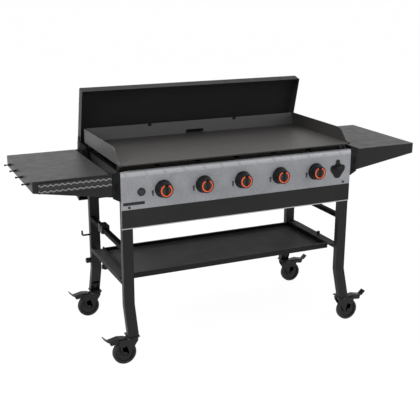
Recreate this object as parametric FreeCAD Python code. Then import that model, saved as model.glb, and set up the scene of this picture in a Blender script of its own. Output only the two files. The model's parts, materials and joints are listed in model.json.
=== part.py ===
import FreeCAD, Part
import math
import os

V = FreeCAD.Vector

# Outdoor gas griddle station on a wheeled stand, in millimetres.
# While it is built, x runs to the right with 0 in the middle of the control panel, y runs to
# the rear with 0 on the control panel's front face, and z is the height above the floor.
# At the end everything moves so that the origin is the bottom centre of the whole box.

# Driving sizes of the body
panel_width = 1073.0
panel_top = 810.0
panel_face = 155.7
band_height = 80.3
band_hem = 5.0
body_depth = 493.6
sheet = 1.5
top_flange = 22.0
panel_edge_radius = 12.0
hem_depth = 11.0
side_drop = 112.0
pivot_tab_radius = 17.0
pivot_tab_half = 30.0
flange_relief = 38.0
band_sheet = 1.2
side_flange = 19.0

# Griddle plate
plate_inset = 3.4
plate_front = 6.7
plate_rear = 508.2
plate_floor_rise = 26.4
floor_thickness = 5.0
wall_thickness = 4.0
wall_rise = 57.6
wall_start = 86.0
wall_foot = 34.0
front_lip_rise = 4.0
corner_gap = 9.0
corner_gap_depth = 35.0
drain_width = 92.0
drain_height = 17.0
drain_radius = 6.0
wall_notch_places = (-224.5, 205.5)
wall_notch_width = 18.0
wall_notch_depth = 12.0
chute_sheet = 2.0
chute_reach = 27.0
chute_drop = 12.0
peg_radius = 4.0
peg_length = 18.0
peg_shoulder_radius = 8.0
peg_inset_y = 48.0
peg_clearance = 0.4

# Lid with its two side arms
lid_overhang = 7.2
lid_length = 543.0
lid_depth = 46.0
lid_sheet = 1.2
lid_edge_radius = 3.0
lid_front = 3.9
lid_pivot_y = 338.0
lid_pivot_drop = 128.0
lid_height_over_pivot = 274.6
lid_open_angle = 75.6
arm_thickness = 4.0
arm_half_width = 14.0
arm_elbow = (102.0, 133.0)
arm_end = (224.0, 136.0)
arm_foot_half = 26.0
arm_foot_half_width = 11.0
arm_rivet_radius = 6.0
arm_rivet_height = 2.2
pivot_radius = 5.0
pivot_head_radius = 10.0
pivot_head = 5.0
pivot_nut = 6.0
spacer_radius = 11.0
stop_radius = 6.0
stop_head_radius = 8.5
stop_head = 3.0
stop_along_arm = 80.0

# Clearances
running_gap = 0.05
seat_gap = 0.3

# Folding side shelves and their brackets
shelf_reach = 344.2
shelf_drop = 1.8
shelf_sheet = 1.5
tray_gap = 45.3
shelf_end_depth = 47.0
shelf_root_depth = 97.3
shelf_edge_radius = 6.0
shelf_edge_flange = 18.0
shelf_pin_inset = 21.0
shelf_corner_radius = 18.0
shelf_pin_radius = 4.0
shelf_neck_inset = 12.0
shelf_neck_drop = 34.0
bracket_plate = 2.0
bracket_width = 33.0
bracket_outer_depth = 102.0
bracket_inner_depth = 120.0
bracket_flange = 30.0
rear_bracket_drop = 14.0
pin_head_radius = 7.0
pin_head = 2.0

# Latch bar at the inner front corner of each shelf
latch_centre_y = 44.5
latch_width = 21.0
latch_pin_inset = 40.0
latch_pin_drop = 9.0
latch_pin_radius = 2.5
latch_barrel_radius = 4.8
latch_bar_width = 13.0
latch_bar_thickness = 3.0
latch_end_inset = 4.0
latch_ear = 2.0
latch_ledge_reach = 12.0
latch_ledge = 2.0

# Utensil hooks and magnetic tool strip on the left shelf
hook_places = (70.0, 187.0, 299.0, 411.0)
hook_drop = 23.0
hook_radius = 2.6
hook_reach = 28.0
hook_ball_radius = 4.2
hook_collar_radius = 5.0
hook_collar = 11.0
hook_collar_round = 1.0
strip_inner_inset = 36.0
strip_length = 286.0
strip_top_drop = 12.0
strip_height = 39.0
strip_frame = 4.0
strip_bar_height = 10.0
strip_bar_proud = 2.0
strip_bar_drops = (20.0, 43.0)
strip_bar_margin = 8.0

# Firebox inside the body
firebox_inset = 20.0
firebox_sheet = 1.2
firebox_drop = 108.0
firebox_leg_gap = 4.1
baffle_front = 63.0
baffle_rise = 18.0
port_width = 25.0
port_height = 16.0
port_rise = 5.3

# Gas train
knob_pitch = 178.5
knob_count = 5
knob_drop = 83.0
burner_radius = 13.0
burner_wall = 1.2
burner_inlet = 48.0
burner_rise = 33.0
burner_rise_start = 84.0
burner_rise_end = 128.0
burner_bend = 30.0
burner_hole_gap = 2.0
manifold_radius = 9.5
manifold_y = 34.0
manifold_drop = 20.5
manifold_overhang = 45.0
inlet_radius = 8.0
inlet_nut_radius = 12.0
inlet_drop = 25.0
inlet_back = 36.0
inlet_length = 52.0
inlet_nut = 12.0
valve_radius = 11.0
valve_flange_radius = 15.0
valve_flange = 3.0
valve_rear = 42.0
valve_saddle_width = 20.0
nozzle_radius = 4.5
nozzle_length = 14.0
plug_front = 12.0
plug_rear = 32.0
plug_front_radius = 6.5
plug_rear_radius = 5.0
stem_radius = 4.0
stem_tip = 20.0
stem_socket = 25.0

# Knobs, igniter and bottle opener on the front
bezel_radius = 37.0
bezel_bore_radius = 35.4
bezel_height = 3.0
knob_rest_gap = 1.5
knob_skirt_radius = 34.5
knob_front_radius = 29.5
knob_height = 32.0
knob_edge = 2.0
knob_dish_radius = 24.0
knob_dish = 3.0
knob_skirt_height = 5.0
grip_width = 13.0
grip_proud = 2.0
push_travel = 3.5
igniter_inset = 85.6
igniter_drop = 86.0
igniter_collar_radius = 17.0
igniter_collar = 3.0
igniter_barrel_radius = 13.0
igniter_barrel = 46.0
igniter_button_radius = 10.5
igniter_button_proud = 8.0
igniter_button_length = 20.0
igniter_travel = 4.0
igniter_spring_room = 7.0
igniter_nut_radius = 16.0
igniter_nut = 5.0
igniter_gap = 0.1
opener_inset = 66.6
opener_drop = 83.5
opener_plate = 3.5
opener_reach = 22.0
opener_hood_half = 23.0
opener_hood_low = 6.0
opener_hood_high = 17.0
opener_lip = 4.0
opener_lip_low = -2.0

# Stand
leg_inset = 2.3
leg_width = 45.0
leg_depth = 27.0
leg_wall = 2.0
leg_top_drop = 25.0
leg_bend_height = 248.0
leg_foot_height = 123.5
leg_splay = 19.6
leg_bend_radius = 30.0
boss_radius = 11.0
bolt_radius = 4.0
bolt_head_radius = 8.0
bolt_head = 3.0
bolt_nut = 5.0
bolt_drops = (45.0, 90.0)
plug_gap = 0.3
plug_height = 36.0
plug_screw_radius = 6.5
plug_screw_head = 3.0
plug_screw_rise = 21.0
foot_opening_margin = 4.0
foot_opening_height = 48.0
foot_opening_round = 12.0
bar_width = 22.0
bar_height = 20.0
bar_wall = 2.0
upper_bar_drop = 310.0
lower_bar_drop = 460.0
tray_sheet = 1.2
tray_left = 46.0
tray_right = 59.0
tray_front = 62.0
tray_rear_gap = 62.6
tray_rim_rise = 10.0
tray_depth = 24.0
tray_rear_dip = 5.0
tray_hem = 8.0
thumb_neck = 3.0
thumb_lobes = 5
left_thumb = (287.0, 17.0, 17.0)
right_thumb = (215.0, 8.0, 10.0)
tank_bracket_y = (273.0, 330.0)
tank_bracket_rise = 10.0
tank_bracket_drop = 6.0
tank_bracket_outer = 3.5
tank_bracket_reach = 9.0
bag_wire = 4.2
bag_drop = 399.7
bag_reach = 40.0
bag_tip_rise = 22.0
bag_bend = 8.0
peg_drop = 523.6
bag_peg_radius = 12.5
bag_peg_length = 23.0
bag_peg_round = 2.0

# Grease cup behind the body
cup_width = 130.0
cup_depth = 58.0
cup_height = 90.0
cup_taper = 6.0
cup_sheet = 1.2
cup_rim = 5.0
cup_rim_drop = 22.0
cup_corner = 8.0
cup_lift = 20.0
hanger_width = 90.0
hanger_sheet = 1.5
hanger_offset = 5.5
hanger_lip = 14.0
hanger_base = 34.0

# Rear panel vents
vent_width = 60.0
vent_height = 8.0
vent_drop = 50.0
vent_pitch = 85.0
vent_first = 130.0
vent_count = 5

# Swivel casters
wheel_radius = 50.0
wheel_width = 28.0
tyre_depth = 11.0
tyre_round = 5.0
hub_radius = 13.0
web_half = 7.0
trail = 35.0
axle_radius = 5.0
axle_head_radius = 8.0
axle_head = 2.5
fork_gap = 2.0
fork_plate = 2.5
crown_top = 112.0
crown_thickness = 4.0
crown_front = 21.0
crown_rear = 27.0
race_radius = 27.0
race_height = 4.0
foot_plate = 3.5
foot_margin = 3.0
caster_inset = 12.0
kingpin_radius = 6.0
kingpin_nut_radius = 10.0
kingpin_nut = 6.0
fork_corner = 14.0
pedal_pivot = (51.0, 105.0)
pedal_pin_radius = 3.0
pedal_half_width = 14.5
pedal_skin = 3.0
pedal_round = 6.0
pedal_hub = 3.0
pedal_tread_start = (34.0, 117.0)
pedal_crest = (65.0, 121.0)
pedal_dip = (105.0, 112.0)
pedal_tip = (124.0, 130.0)
pedal_tread = 3.4
shoe_reach = (81.0, 96.0)
shoe_low = 93.0

# Places that follow from the sizes above
side = panel_width / 2
panel_bottom = panel_top - panel_face - band_height
side_low = panel_top - side_drop
igniter_x = -side + igniter_inset
opener_x = side - opener_inset
plate_top = panel_top + plate_floor_rise
plate_bottom = plate_top - floor_thickness
wall_top = plate_top + wall_rise
side_top = panel_top - sheet
lid_pivot_z = panel_top - lid_pivot_drop
knob_gap = push_travel + knob_rest_gap
cup_hook = cup_lift / 2
lid_top = lid_pivot_z + lid_height_over_pivot
lid_rim = lid_top - lid_depth
lid_half = side + lid_overhang
rear_inner = body_depth - sheet
knob_z = panel_top - knob_drop
knob_xs = [(i - (knob_count - 1) / 2) * knob_pitch for i in range(knob_count)]
firebox_side = side - firebox_inset
leg_outer = side - leg_inset
leg_inner = leg_outer - leg_width
leg_x = (leg_outer + leg_inner) / 2
leg_front = sheet
leg_rear = leg_front + leg_depth
bolt_y = leg_front + leg_depth / 2
firebox_rear = body_depth - leg_rear - firebox_leg_gap
mid_y = body_depth / 2
shelf_top = panel_top - shelf_drop
shelf_pin_x = side + shelf_pin_inset
shelf_pin_z = shelf_top - shelf_root_depth + shelf_corner_radius
shelf_y = (bracket_plate + seat_gap, body_depth - bracket_plate - seat_gap)
latch_pin_x = side + latch_pin_inset
latch_pin_z = shelf_top - latch_pin_drop
bar_inner = leg_outer - bar_width
bar_x = leg_outer - bar_width / 2
upper_bar_top = panel_top - upper_bar_drop
lower_bar_top = panel_top - lower_bar_drop
tray_rim = lower_bar_top + tray_rim_rise
tray_low = tray_rim - tray_depth
tray_x = (-side + tray_left, side - tray_right)
tray_y = (tray_front, body_depth - tray_rear_gap)
bag_y = body_depth - bolt_y
bag_height = panel_top - bag_drop
peg_height = panel_top - peg_drop
wheel_z = wheel_radius
splay = math.radians(leg_splay)
foot_front = leg_front - (leg_bend_height - leg_foot_height) * math.tan(splay)
foot_y = foot_front + leg_depth / math.cos(splay) / 2


def box(x, y, z):
    """Block between two limits on each axis."""
    low = V(min(x), min(y), min(z))
    return Part.makeBox(abs(x[1] - x[0]), abs(y[1] - y[0]), abs(z[1] - z[0]), low)


def rod(start, end, radius):
    """Round bar from one point to another."""
    run = V(*end) - V(*start)
    return Part.makeCylinder(radius, run.Length, V(*start), run)


def placed(plane, a, b, offset):
    """Point of a drawing plane in space."""
    if plane == "yz":
        return V(offset, a, b)
    if plane == "xz":
        return V(a, offset, b)
    return V(a, b, offset)


def rounded_path(corners, plane, offset, closed):
    """Wire through corners (a, b, radius), with a tangent arc at each corner that has a radius."""
    count = len(corners)
    bends = []
    for i, corner in enumerate(corners):
        point = placed(plane, corner[0], corner[1], offset)
        radius = corner[2] if len(corner) > 2 else 0
        open_end = not closed and i in (0, count - 1)
        if radius <= 0 or open_end:
            bends.append((point, None, point))
            continue
        before = placed(plane, corners[i - 1][0], corners[i - 1][1], offset) - point
        after_corner = corners[(i + 1) % count]
        after = placed(plane, after_corner[0], after_corner[1], offset) - point
        half = before.getAngle(after) / 2
        before.normalize()
        after.normalize()
        reach = radius / math.tan(half)
        middle = before + after
        middle.normalize()
        centre = point + middle * (radius / math.sin(half))
        bends.append((point + before * reach, centre - middle * radius, point + after * reach))
    edges = []
    for i, (start, middle, end) in enumerate(bends):
        if middle is not None:
            edges.append(Part.Arc(start, middle, end).toShape())
        if i < count - 1 or closed:
            following = bends[(i + 1) % count][0]
            if (following - end).Length > 1e-6:
                edges.append(Part.LineSegment(end, following).toShape())
    return Part.Wire(edges)


def prism(corners, plane, start, end):
    """Closed outline drawn in a plane and pulled along that plane's normal."""
    face = Part.Face(rounded_path(corners, plane, start, True))
    return face.extrude(placed(plane, 0, 0, end - start))


def turned(profile, base, axis):
    """Solid turned from an outline of (distance from the axis, place along the axis)."""
    axis = V(*axis)
    side_way = V(0, 0, 1) if abs(axis.z) < 0.5 else V(1, 0, 0)
    points = [V(*base) + side_way * r + axis * t for r, t in profile]
    face = Part.Face(Part.makePolygon(points + [points[0]]))
    return face.revolve(V(*base), axis, 360)


def swept(corners, plane, offset, radius):
    """Round bar along a rounded path."""
    spine = rounded_path(corners, plane, offset, False)
    first = spine.OrderedEdges[0]
    start = first.valueAt(first.FirstParameter)
    if (start - placed(plane, corners[0][0], corners[0][1], offset)).Length > 1e-6:
        start = first.valueAt(first.LastParameter)
    second = placed(plane, corners[1][0], corners[1][1], offset)
    circle = Part.Wire(Part.Circle(start, second - start, radius).toShape())
    return spine.makePipeShell([circle], True, False)


def fused(shapes):
    """One solid from overlapping or touching pieces."""
    return shapes[0].multiFuse(shapes[1:]).removeSplitter()


def group(shapes):
    """Several separate solids that share one node."""
    return Part.makeCompound(shapes)


def mirror_x(shape):
    """The same piece on the other side of the middle plane between left and right."""
    return shape.mirror(V(0, 0, 0), V(1, 0, 0))


def mirror_y(shape):
    """The same piece at the other end of the stand, front to rear."""
    return shape.mirror(V(0, mid_y, 0), V(0, 1, 0))


def polygon_nut(centre, axis, radius, height, corners=6):
    """Hexagon nut or head with its corners on a circle."""
    base = V(*centre)
    way = V(*axis)
    side_way = V(0, 0, 1) if abs(way.z) < 0.5 else V(1, 0, 0)
    points = []
    for i in range(corners):
        turn = FreeCAD.Rotation(way, 360.0 * i / corners)
        points.append(base + turn.multVec(side_way * radius))
    face = Part.Face(Part.makePolygon(points + [points[0]]))
    return face.extrude(way * height)


def control_panel():
    """Folded front panel with a rounded top edge, a top flange and a hem at the bottom."""
    inner_radius = panel_edge_radius - sheet
    profile = [
        (hem_depth, panel_bottom),
        (0, panel_bottom, sheet + 1),
        (0, panel_top, panel_edge_radius),
        (top_flange, panel_top),
        (top_flange, panel_top - sheet),
        (sheet, panel_top - sheet, inner_radius),
        (sheet, panel_bottom + sheet, 1),
        (hem_depth, panel_bottom + sheet),
    ]
    panel = prism(profile, "yz", -side, side)
    relief = [(side + 1, panel_edge_radius / 2), (side + 1, top_flange + 1),
              (side - flange_relief, top_flange + 1)]
    corner = prism(relief, "xy", panel_top - panel_edge_radius / 2, panel_top + 1)
    cuts = [corner, mirror_x(corner)]
    notch = box((leg_inner - 1, side + 1), (sheet, hem_depth + 1),
                (panel_bottom - 1, panel_bottom + 2 * sheet + 1))
    cuts += [notch, mirror_x(notch)]
    for x in knob_xs:
        cuts.append(rod((x, -1, knob_z), (x, sheet + 1, knob_z), stem_radius + 2))
    igniter_z = panel_top - igniter_drop
    hole = igniter_barrel_radius + igniter_gap
    cuts.append(rod((igniter_x, -1, igniter_z), (igniter_x, sheet + 1, igniter_z), hole))
    return panel.cut(group(cuts))


def trim_band():
    """Painted band on the lower part of the control panel."""
    low = panel_bottom + band_hem
    high = panel_bottom + band_height
    return box((-side + sheet, side - sheet), (-band_sheet, 0), (low, high))


def side_panel():
    """Right side of the body: top flange, bottom hem, bosses for the leg bolts, pivot tab, latch ledge."""
    web = prism([(sheet, side_low), (rear_inner, side_low), (rear_inner, side_top),
                 (sheet, side_top, panel_edge_radius)], "yz", side - sheet, side)
    tab_top = side_low + sheet
    tab = prism([(lid_pivot_y - pivot_tab_half, tab_top), (lid_pivot_y + pivot_tab_half, tab_top),
                 (lid_pivot_y + pivot_tab_radius, lid_pivot_z - pivot_tab_radius, pivot_tab_radius / 2),
                 (lid_pivot_y - pivot_tab_radius, lid_pivot_z - pivot_tab_radius, pivot_tab_radius / 2)],
                "yz", side - sheet, side)
    flange = box((side - side_flange, side), (panel_edge_radius + sheet, rear_inner),
                 (side_top - sheet, side_top))
    hem = box((side - hem_depth, side), (leg_rear + 2, body_depth - leg_rear - 2),
              (side_low, side_low + sheet))
    ledge_top = latch_pin_z - latch_bar_thickness / 2 - seat_gap
    ledge = box((side, side + latch_ledge_reach),
                (latch_centre_y - latch_bar_width / 2, latch_centre_y + latch_bar_width / 2),
                (ledge_top - latch_ledge, ledge_top))
    gusset = prism([(side, ledge_top - latch_ledge), (side + latch_ledge_reach, ledge_top - latch_ledge),
                    (side, ledge_top - latch_ledge_reach)], "xz",
                   latch_centre_y - latch_ledge / 2, latch_centre_y + latch_ledge / 2)
    pieces = [web, tab, flange, hem, ledge, gusset]
    holes = []
    for y in (bolt_y, body_depth - bolt_y):
        for drop in bolt_drops:
            z = panel_top - drop
            pieces.append(rod((side - sheet, y, z), (leg_outer, y, z), boss_radius))
            holes.append(rod((leg_outer - 1, y, z), (side + 1, y, z), bolt_radius + running_gap))
    for y in (peg_inset_y, body_depth - peg_inset_y):
        holes.append(rod((side - side_flange / 2, y, side_top - sheet - 1),
                         (side - side_flange / 2, y, side_top + 1), peg_radius + peg_clearance))
    holes.append(rod((side - sheet - 1, lid_pivot_y, lid_pivot_z), (side + 1, lid_pivot_y, lid_pivot_z),
                     pivot_radius + running_gap))
    return fused(pieces).cut(group(holes))


def rear_panel():
    """Rear sheet of the body with a row of vents on each side of the grease cup."""
    panel = box((-side, side), (rear_inner, body_depth), (side_low, side_top - sheet))
    slots = []
    radius = vent_height / 2
    z = panel_top - vent_drop
    for i in range(vent_count):
        x = vent_first + i * vent_pitch
        corners = [(x - vent_width / 2, z - radius, radius * 0.999),
                   (x + vent_width / 2, z - radius, radius * 0.999),
                   (x + vent_width / 2, z + radius, radius * 0.999),
                   (x - vent_width / 2, z + radius, radius * 0.999)]
        slot = prism(corners, "xz", rear_inner - 1, body_depth + 1)
        slots += [slot, mirror_x(slot)]
    return panel.cut(group(slots))


def front_baffle():
    """Front wall of the firebox: a window over each burner and a hole that each burner passes."""
    low = panel_top - firebox_drop
    wall = box((-firebox_side, firebox_side), (baffle_front, baffle_front + firebox_sheet),
               (low, panel_top + baffle_rise))
    cuts = []
    reach = (baffle_front - 1, baffle_front + firebox_sheet + 1)
    for x in knob_xs:
        port_z = panel_top + port_rise
        cuts.append(box((x - port_width / 2, x + port_width / 2), reach,
                        (port_z - port_height / 2, port_z + port_height / 2)))
        cuts.append(rod((x, reach[0], knob_z), (x, reach[1], knob_z), burner_radius + burner_hole_gap))
    return wall.cut(group(cuts))


def firebox_pan():
    """Heat shield under the burners, hung by its side flanges under the body's top flanges."""
    front = baffle_front + firebox_sheet
    low = panel_top - firebox_drop
    high = side_top - sheet
    bottom = box((-firebox_side, firebox_side), (front, firebox_rear), (low, low + firebox_sheet))
    rear = box((-firebox_side, firebox_side), (firebox_rear - firebox_sheet, firebox_rear), (low, high))
    wall = box((firebox_side - firebox_sheet, firebox_side), (front, firebox_rear), (low, high))
    flange = box((firebox_side - firebox_sheet, side - sheet), (front, firebox_rear),
                 (high - firebox_sheet, high))
    slot_y = (peg_inset_y - boss_radius, body_depth - peg_inset_y - boss_radius)
    slots = [box((firebox_side, side - sheet), (y, y + 2 * boss_radius), (high - 2 * firebox_sheet, high))
             for y in slot_y]
    right = fused([wall, flange]).cut(group(slots))
    return fused([bottom, rear, right, mirror_x(right)])


def burner(x):
    """Tube burner: inlet at the valve, a double bend up to cooking height, and a long flame run."""
    rise_z = knob_z + burner_rise
    rear = firebox_rear - firebox_sheet
    corners = [
        (burner_inlet, knob_z),
        (burner_rise_start, knob_z, burner_bend),
        (burner_rise_end, rise_z, burner_bend),
        (rear, rise_z),
    ]
    outer = swept(corners, "yz", x, burner_radius)
    bore = corners[:-1] + [(rear - burner_radius, rise_z)]
    inner = swept(bore, "yz", x, burner_radius - burner_wall)
    collar = turned([(burner_radius - burner_wall, 0), (burner_radius + 3, 0), (burner_radius + 3, 2),
                     (burner_radius - burner_wall, 2)], (x, baffle_front + firebox_sheet, knob_z), (0, 1, 0))
    return fused([outer.cut(inner), collar.cut(inner)])


def gas_manifold():
    """Supply pipe behind the panel; its left end drops, runs back and turns left in the inlet nipple."""
    z = knob_z - manifold_drop
    start = knob_xs[0] - manifold_overhang
    end = knob_xs[-1] + manifold_overhang
    pipe = rod((start, manifold_y, z), (end, manifold_y, z), manifold_radius)
    x = start + manifold_radius
    low = z - inlet_drop
    nipple_y = manifold_y + inlet_back
    bend = inlet_radius * 1.5
    elbow = swept([(manifold_y, z), (manifold_y, low, bend), (nipple_y - bend, low)], "yz", x, inlet_radius)
    nipple = swept([(x, nipple_y - bend), (x, nipple_y, bend), (x - inlet_length, nipple_y)], "xy", low,
                   inlet_radius)
    nut = polygon_nut((x - bend, nipple_y, low), (-1, 0, 0), inlet_nut_radius, inlet_nut)
    cap = polygon_nut((end - 4, manifold_y, z), (1, 0, 0), manifold_radius + 2.5, 8)
    return fused([pipe, elbow, nipple, nut, cap])


def gas_valve(x):
    """Valve body seated on the manifold: flange at the panel, tapered bore and gas nozzle."""
    body = turned([(0, sheet), (valve_flange_radius, sheet), (valve_flange_radius, sheet + valve_flange),
                   (valve_radius, sheet + valve_flange), (valve_radius, valve_rear),
                   (nozzle_radius, valve_rear + 3), (nozzle_radius, valve_rear + nozzle_length),
                   (0, valve_rear + nozzle_length)], (x, 0, knob_z), (0, 1, 0))
    pipe_z = knob_z - manifold_drop
    saddle = box((x - valve_saddle_width / 2, x + valve_saddle_width / 2),
                 (manifold_y - manifold_radius + 1, manifold_y + manifold_radius - 1),
                 (pipe_z, knob_z))
    pipe = rod((x - valve_saddle_width, manifold_y, pipe_z), (x + valve_saddle_width, manifold_y, pipe_z),
               manifold_radius)
    seat = turned([(0, plug_front), (plug_front_radius + running_gap, plug_front),
                   (plug_rear_radius + running_gap, plug_rear), (0, plug_rear)], (x, 0, knob_z), (0, 1, 0))
    throat = rod((x, 0, knob_z), (x, plug_front + 1, knob_z), stem_radius + 2 * running_gap)
    return fused([body, saddle]).cut(group([pipe])).cut(fused([seat, throat]))


def valve_plug(x):
    """Tapered plug that the stem turns inside the valve; the stem slides in its socket."""
    return turned([(stem_radius + running_gap, plug_front + seat_gap),
                   (plug_front_radius, plug_front + seat_gap),
                   (plug_rear_radius, plug_rear - seat_gap), (0, plug_rear - seat_gap),
                   (0, stem_socket), (stem_radius + running_gap, stem_socket)], (x, 0, knob_z), (0, 1, 0))


def knob(x):
    """Control knob with a flared skirt, a dished front and a raised grip, on its steel stem."""
    rear = -knob_gap
    front = rear - knob_height
    profile = [
        (0, rear), (knob_skirt_radius, rear), (knob_skirt_radius, rear - knob_skirt_height),
        (knob_front_radius + knob_edge, rear - knob_skirt_height - knob_edge),
        (knob_front_radius, front + knob_edge), (knob_front_radius - knob_edge, front),
        (knob_dish_radius, front), (knob_dish_radius - knob_edge, front + knob_dish), (0, front + knob_dish),
    ]
    body = turned(profile, (x, 0, knob_z), (0, 1, 0))
    half = grip_width / 2
    reach = knob_dish_radius - knob_edge / 2
    grip = prism([(x - half, knob_z - reach + 3, half * 0.9), (x + half, knob_z - reach + 3, half * 0.9),
                  (x + half, knob_z + reach - 3, 2), (x - half, knob_z + reach - 3, 2)], "xz",
                 front - grip_proud, front + knob_dish)
    bore = rod((x, rear - knob_height / 2, knob_z), (x, rear + 1, knob_z), stem_radius)
    stem = rod((x, rear - knob_height / 2, knob_z), (x, stem_tip, knob_z), stem_radius)
    return group([fused([body, grip]).cut(bore), stem])


def knob_bezel(x):
    """Thin ring on the panel round a knob."""
    return turned([(bezel_bore_radius - 4, 0), (bezel_radius, 0), (bezel_radius, -bezel_height / 2),
                   (bezel_radius - 1, -bezel_height), (bezel_bore_radius, -bezel_height),
                   (bezel_bore_radius, -bezel_height / 3), (bezel_bore_radius - 4, -bezel_height / 3)],
                  (x, 0, knob_z), (0, 1, 0))


def igniter_housing():
    """Push-button igniter: collar in front of the panel, threaded barrel with the battery behind it."""
    z = panel_top - igniter_drop
    bore = igniter_button_radius + igniter_gap
    bore_end = igniter_button_length - igniter_button_proud + igniter_travel + igniter_spring_room
    barrel = turned([(bore, -igniter_collar), (igniter_collar_radius - 1, -igniter_collar),
                     (igniter_collar_radius, -igniter_collar / 2), (igniter_collar_radius, 0),
                     (igniter_barrel_radius, 0), (igniter_barrel_radius, igniter_barrel),
                     (0, igniter_barrel), (0, bore_end), (bore, bore_end)],
                    (igniter_x, 0, z), (0, 1, 0))
    nut = polygon_nut((igniter_x, sheet, z), (0, 1, 0), igniter_nut_radius, igniter_nut)
    hole = rod((igniter_x, 0, z), (igniter_x, igniter_barrel, z), igniter_barrel_radius)
    return group([barrel, nut.cut(hole)])


def igniter_button():
    """Domed button that is pushed in against its spring."""
    z = panel_top - igniter_drop
    front = -igniter_button_proud
    rear = front + igniter_button_length
    return turned([(0, rear), (igniter_button_radius, rear), (igniter_button_radius, front + 2),
                   (igniter_button_radius - 1.5, front + 0.5), (igniter_button_radius - 5, front),
                   (0, front)],
                  (igniter_x, 0, z), (0, 1, 0))


def bottle_opener():
    """Cast opener: back plate with three lobes and a hood with a lip that lifts the cap."""
    z = panel_top - opener_drop
    half = [(8, 42, 7), (10, 22, 5), (35, 15, 7), (36, -4, 7), (10, -40, 8)]
    corners = [(opener_x + a, z + b, r) for a, b, r in half]
    corners += [(opener_x - a, z + b, r) for a, b, r in reversed(half)]
    plate = prism(corners, "xz", -opener_plate, 0)
    hood_outline = [(-opener_plate, z + opener_hood_low), (-opener_reach + opener_lip, z + opener_hood_low),
                    (-opener_reach + opener_lip, z + opener_lip_low),
                    (-opener_reach, z + opener_lip_low, 1.5),
                    (-opener_reach, z + opener_hood_high - 4, 6), (-opener_plate, z + opener_hood_high)]
    hood = prism(hood_outline, "yz", opener_x - opener_hood_half, opener_x + opener_hood_half)
    trims = []
    for way in (-1, 1):
        edge = opener_x + way * opener_hood_half
        trims.append(prism([(edge + way, -opener_reach - 1), (edge - way * 10, -opener_reach - 1),
                            (edge + way, -opener_plate)], "xy", z + opener_lip_low - 1,
                            z + opener_hood_high + 1))
    return fused([plate, hood.cut(group(trims))])


def griddle_plate():
    """Welded cooking plate: floor, rear wall with drain and notches, side walls that sweep down."""
    half = side - plate_inset
    floor = box((-half, half), (plate_front, plate_rear), (plate_bottom, plate_top))
    rear = box((-half, half), (plate_rear - wall_thickness, plate_rear), (plate_bottom, wall_top))
    lip_top = plate_top + front_lip_rise
    wall_outline = [(plate_rear, plate_bottom), (plate_rear, wall_top), (wall_start, wall_top, 55),
                    (wall_foot, lip_top, 30), (plate_front, lip_top), (plate_front, plate_bottom)]
    wall = prism(wall_outline, "yz", half - wall_thickness, half)
    drain = prism([(-drain_width / 2, plate_top), (drain_width / 2, plate_top),
                   (drain_width / 2, plate_top + drain_height, drain_radius),
                   (-drain_width / 2, plate_top + drain_height, drain_radius)], "xz",
                  plate_rear - wall_thickness - 1, plate_rear + 1)
    inner = half - wall_thickness
    gap = prism([(inner, wall_top + 1), (inner - corner_gap, wall_top + 1),
                 (inner, wall_top - corner_gap_depth)],
                "xz", plate_rear - wall_thickness - 1, plate_rear + 1)
    cuts = [drain, gap, mirror_x(gap)]
    for x in wall_notch_places:
        cuts.append(prism([(x - wall_notch_width / 2, wall_top - wall_notch_depth, 4),
                           (x + wall_notch_width / 2, wall_top - wall_notch_depth, 4),
                           (x + wall_notch_width / 2, wall_top + 1),
                           (x - wall_notch_width / 2, wall_top + 1)],
                          "xz", plate_rear - wall_thickness - 1, plate_rear + 1))
    pan = fused([floor, rear.cut(group(cuts)), wall, mirror_x(wall)])
    return fused([pan, grease_chute()])


def grease_chute():
    """Spout welded behind the drain slot, which drops the grease into the cup."""
    half = drain_width / 2 + chute_sheet
    start = plate_rear
    end = plate_rear + chute_reach
    low = plate_top - chute_drop
    bottom = prism([(start, plate_top), (end, low), (end + 1, low - 5), (end - 1, low - 5),
                    (end - chute_sheet, low - chute_sheet), (start, plate_top - chute_sheet)], "yz",
                    -half, half)
    cheek = prism([(start, plate_top - chute_sheet), (start, plate_top + drain_height),
                   (end, low + 4), (end, low - chute_sheet)], "yz", half - chute_sheet, half)
    return fused([bottom, cheek, mirror_x(cheek)])


def griddle_peg(x, y):
    """Foot under the plate: a shoulder that stands on the body's flange and a peg in its hole."""
    rise = plate_bottom - side_top
    shoulder = polygon_nut((x, y, side_top), (0, 0, 1), peg_shoulder_radius, rise)
    peg = rod((x, y, side_top - peg_length), (x, y, side_top), peg_radius)
    return fused([shoulder, peg])


def open_lid(shape):
    """Turn a piece drawn with the lid shut back to the open pose."""
    pose = shape.copy()
    pose.rotate(V(0, lid_pivot_y, lid_pivot_z), V(1, 0, 0), -lid_open_angle)
    return pose


def lid_pan():
    """Folded lid: a flat top with four deep flanges and softly rounded edges."""
    outer = box((-lid_half, lid_half), (lid_front, lid_front + lid_length), (lid_rim, lid_top))
    edges = [e for e in outer.Edges if e.CenterOfMass.z > lid_rim + 1]
    outer = outer.makeFillet(lid_edge_radius, edges)
    inner = box((-lid_half + lid_sheet, lid_half - lid_sheet),
                (lid_front + lid_sheet, lid_front + lid_length - lid_sheet),
                (lid_rim - 1, lid_top - lid_sheet))
    edges = [e for e in inner.Edges if e.CenterOfMass.z > lid_rim]
    inner = inner.makeFillet(lid_edge_radius - lid_sheet, edges)
    return open_lid(outer.cut(inner))


def bar_with_round_ends(start, end, half_width, x0, x1):
    """Flat bar between two points (y, z) with half-round ends."""
    run = V(0, end[0] - start[0], end[1] - start[1])
    length = run.Length
    run.normalize()
    across = V(0, -run.z, run.y) * half_width
    a = V(x0, start[0], start[1])
    b = a + run * length
    points = [a - across, b - across, b + across, a + across]
    face = Part.Face(Part.makePolygon(points + [points[0]]))
    pieces = [face.extrude(V(x1 - x0, 0, 0))]
    for y, z in (start, end):
        pieces.append(rod((x0, y, z), (x1, y, z), half_width))
    return fused(pieces)


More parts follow.
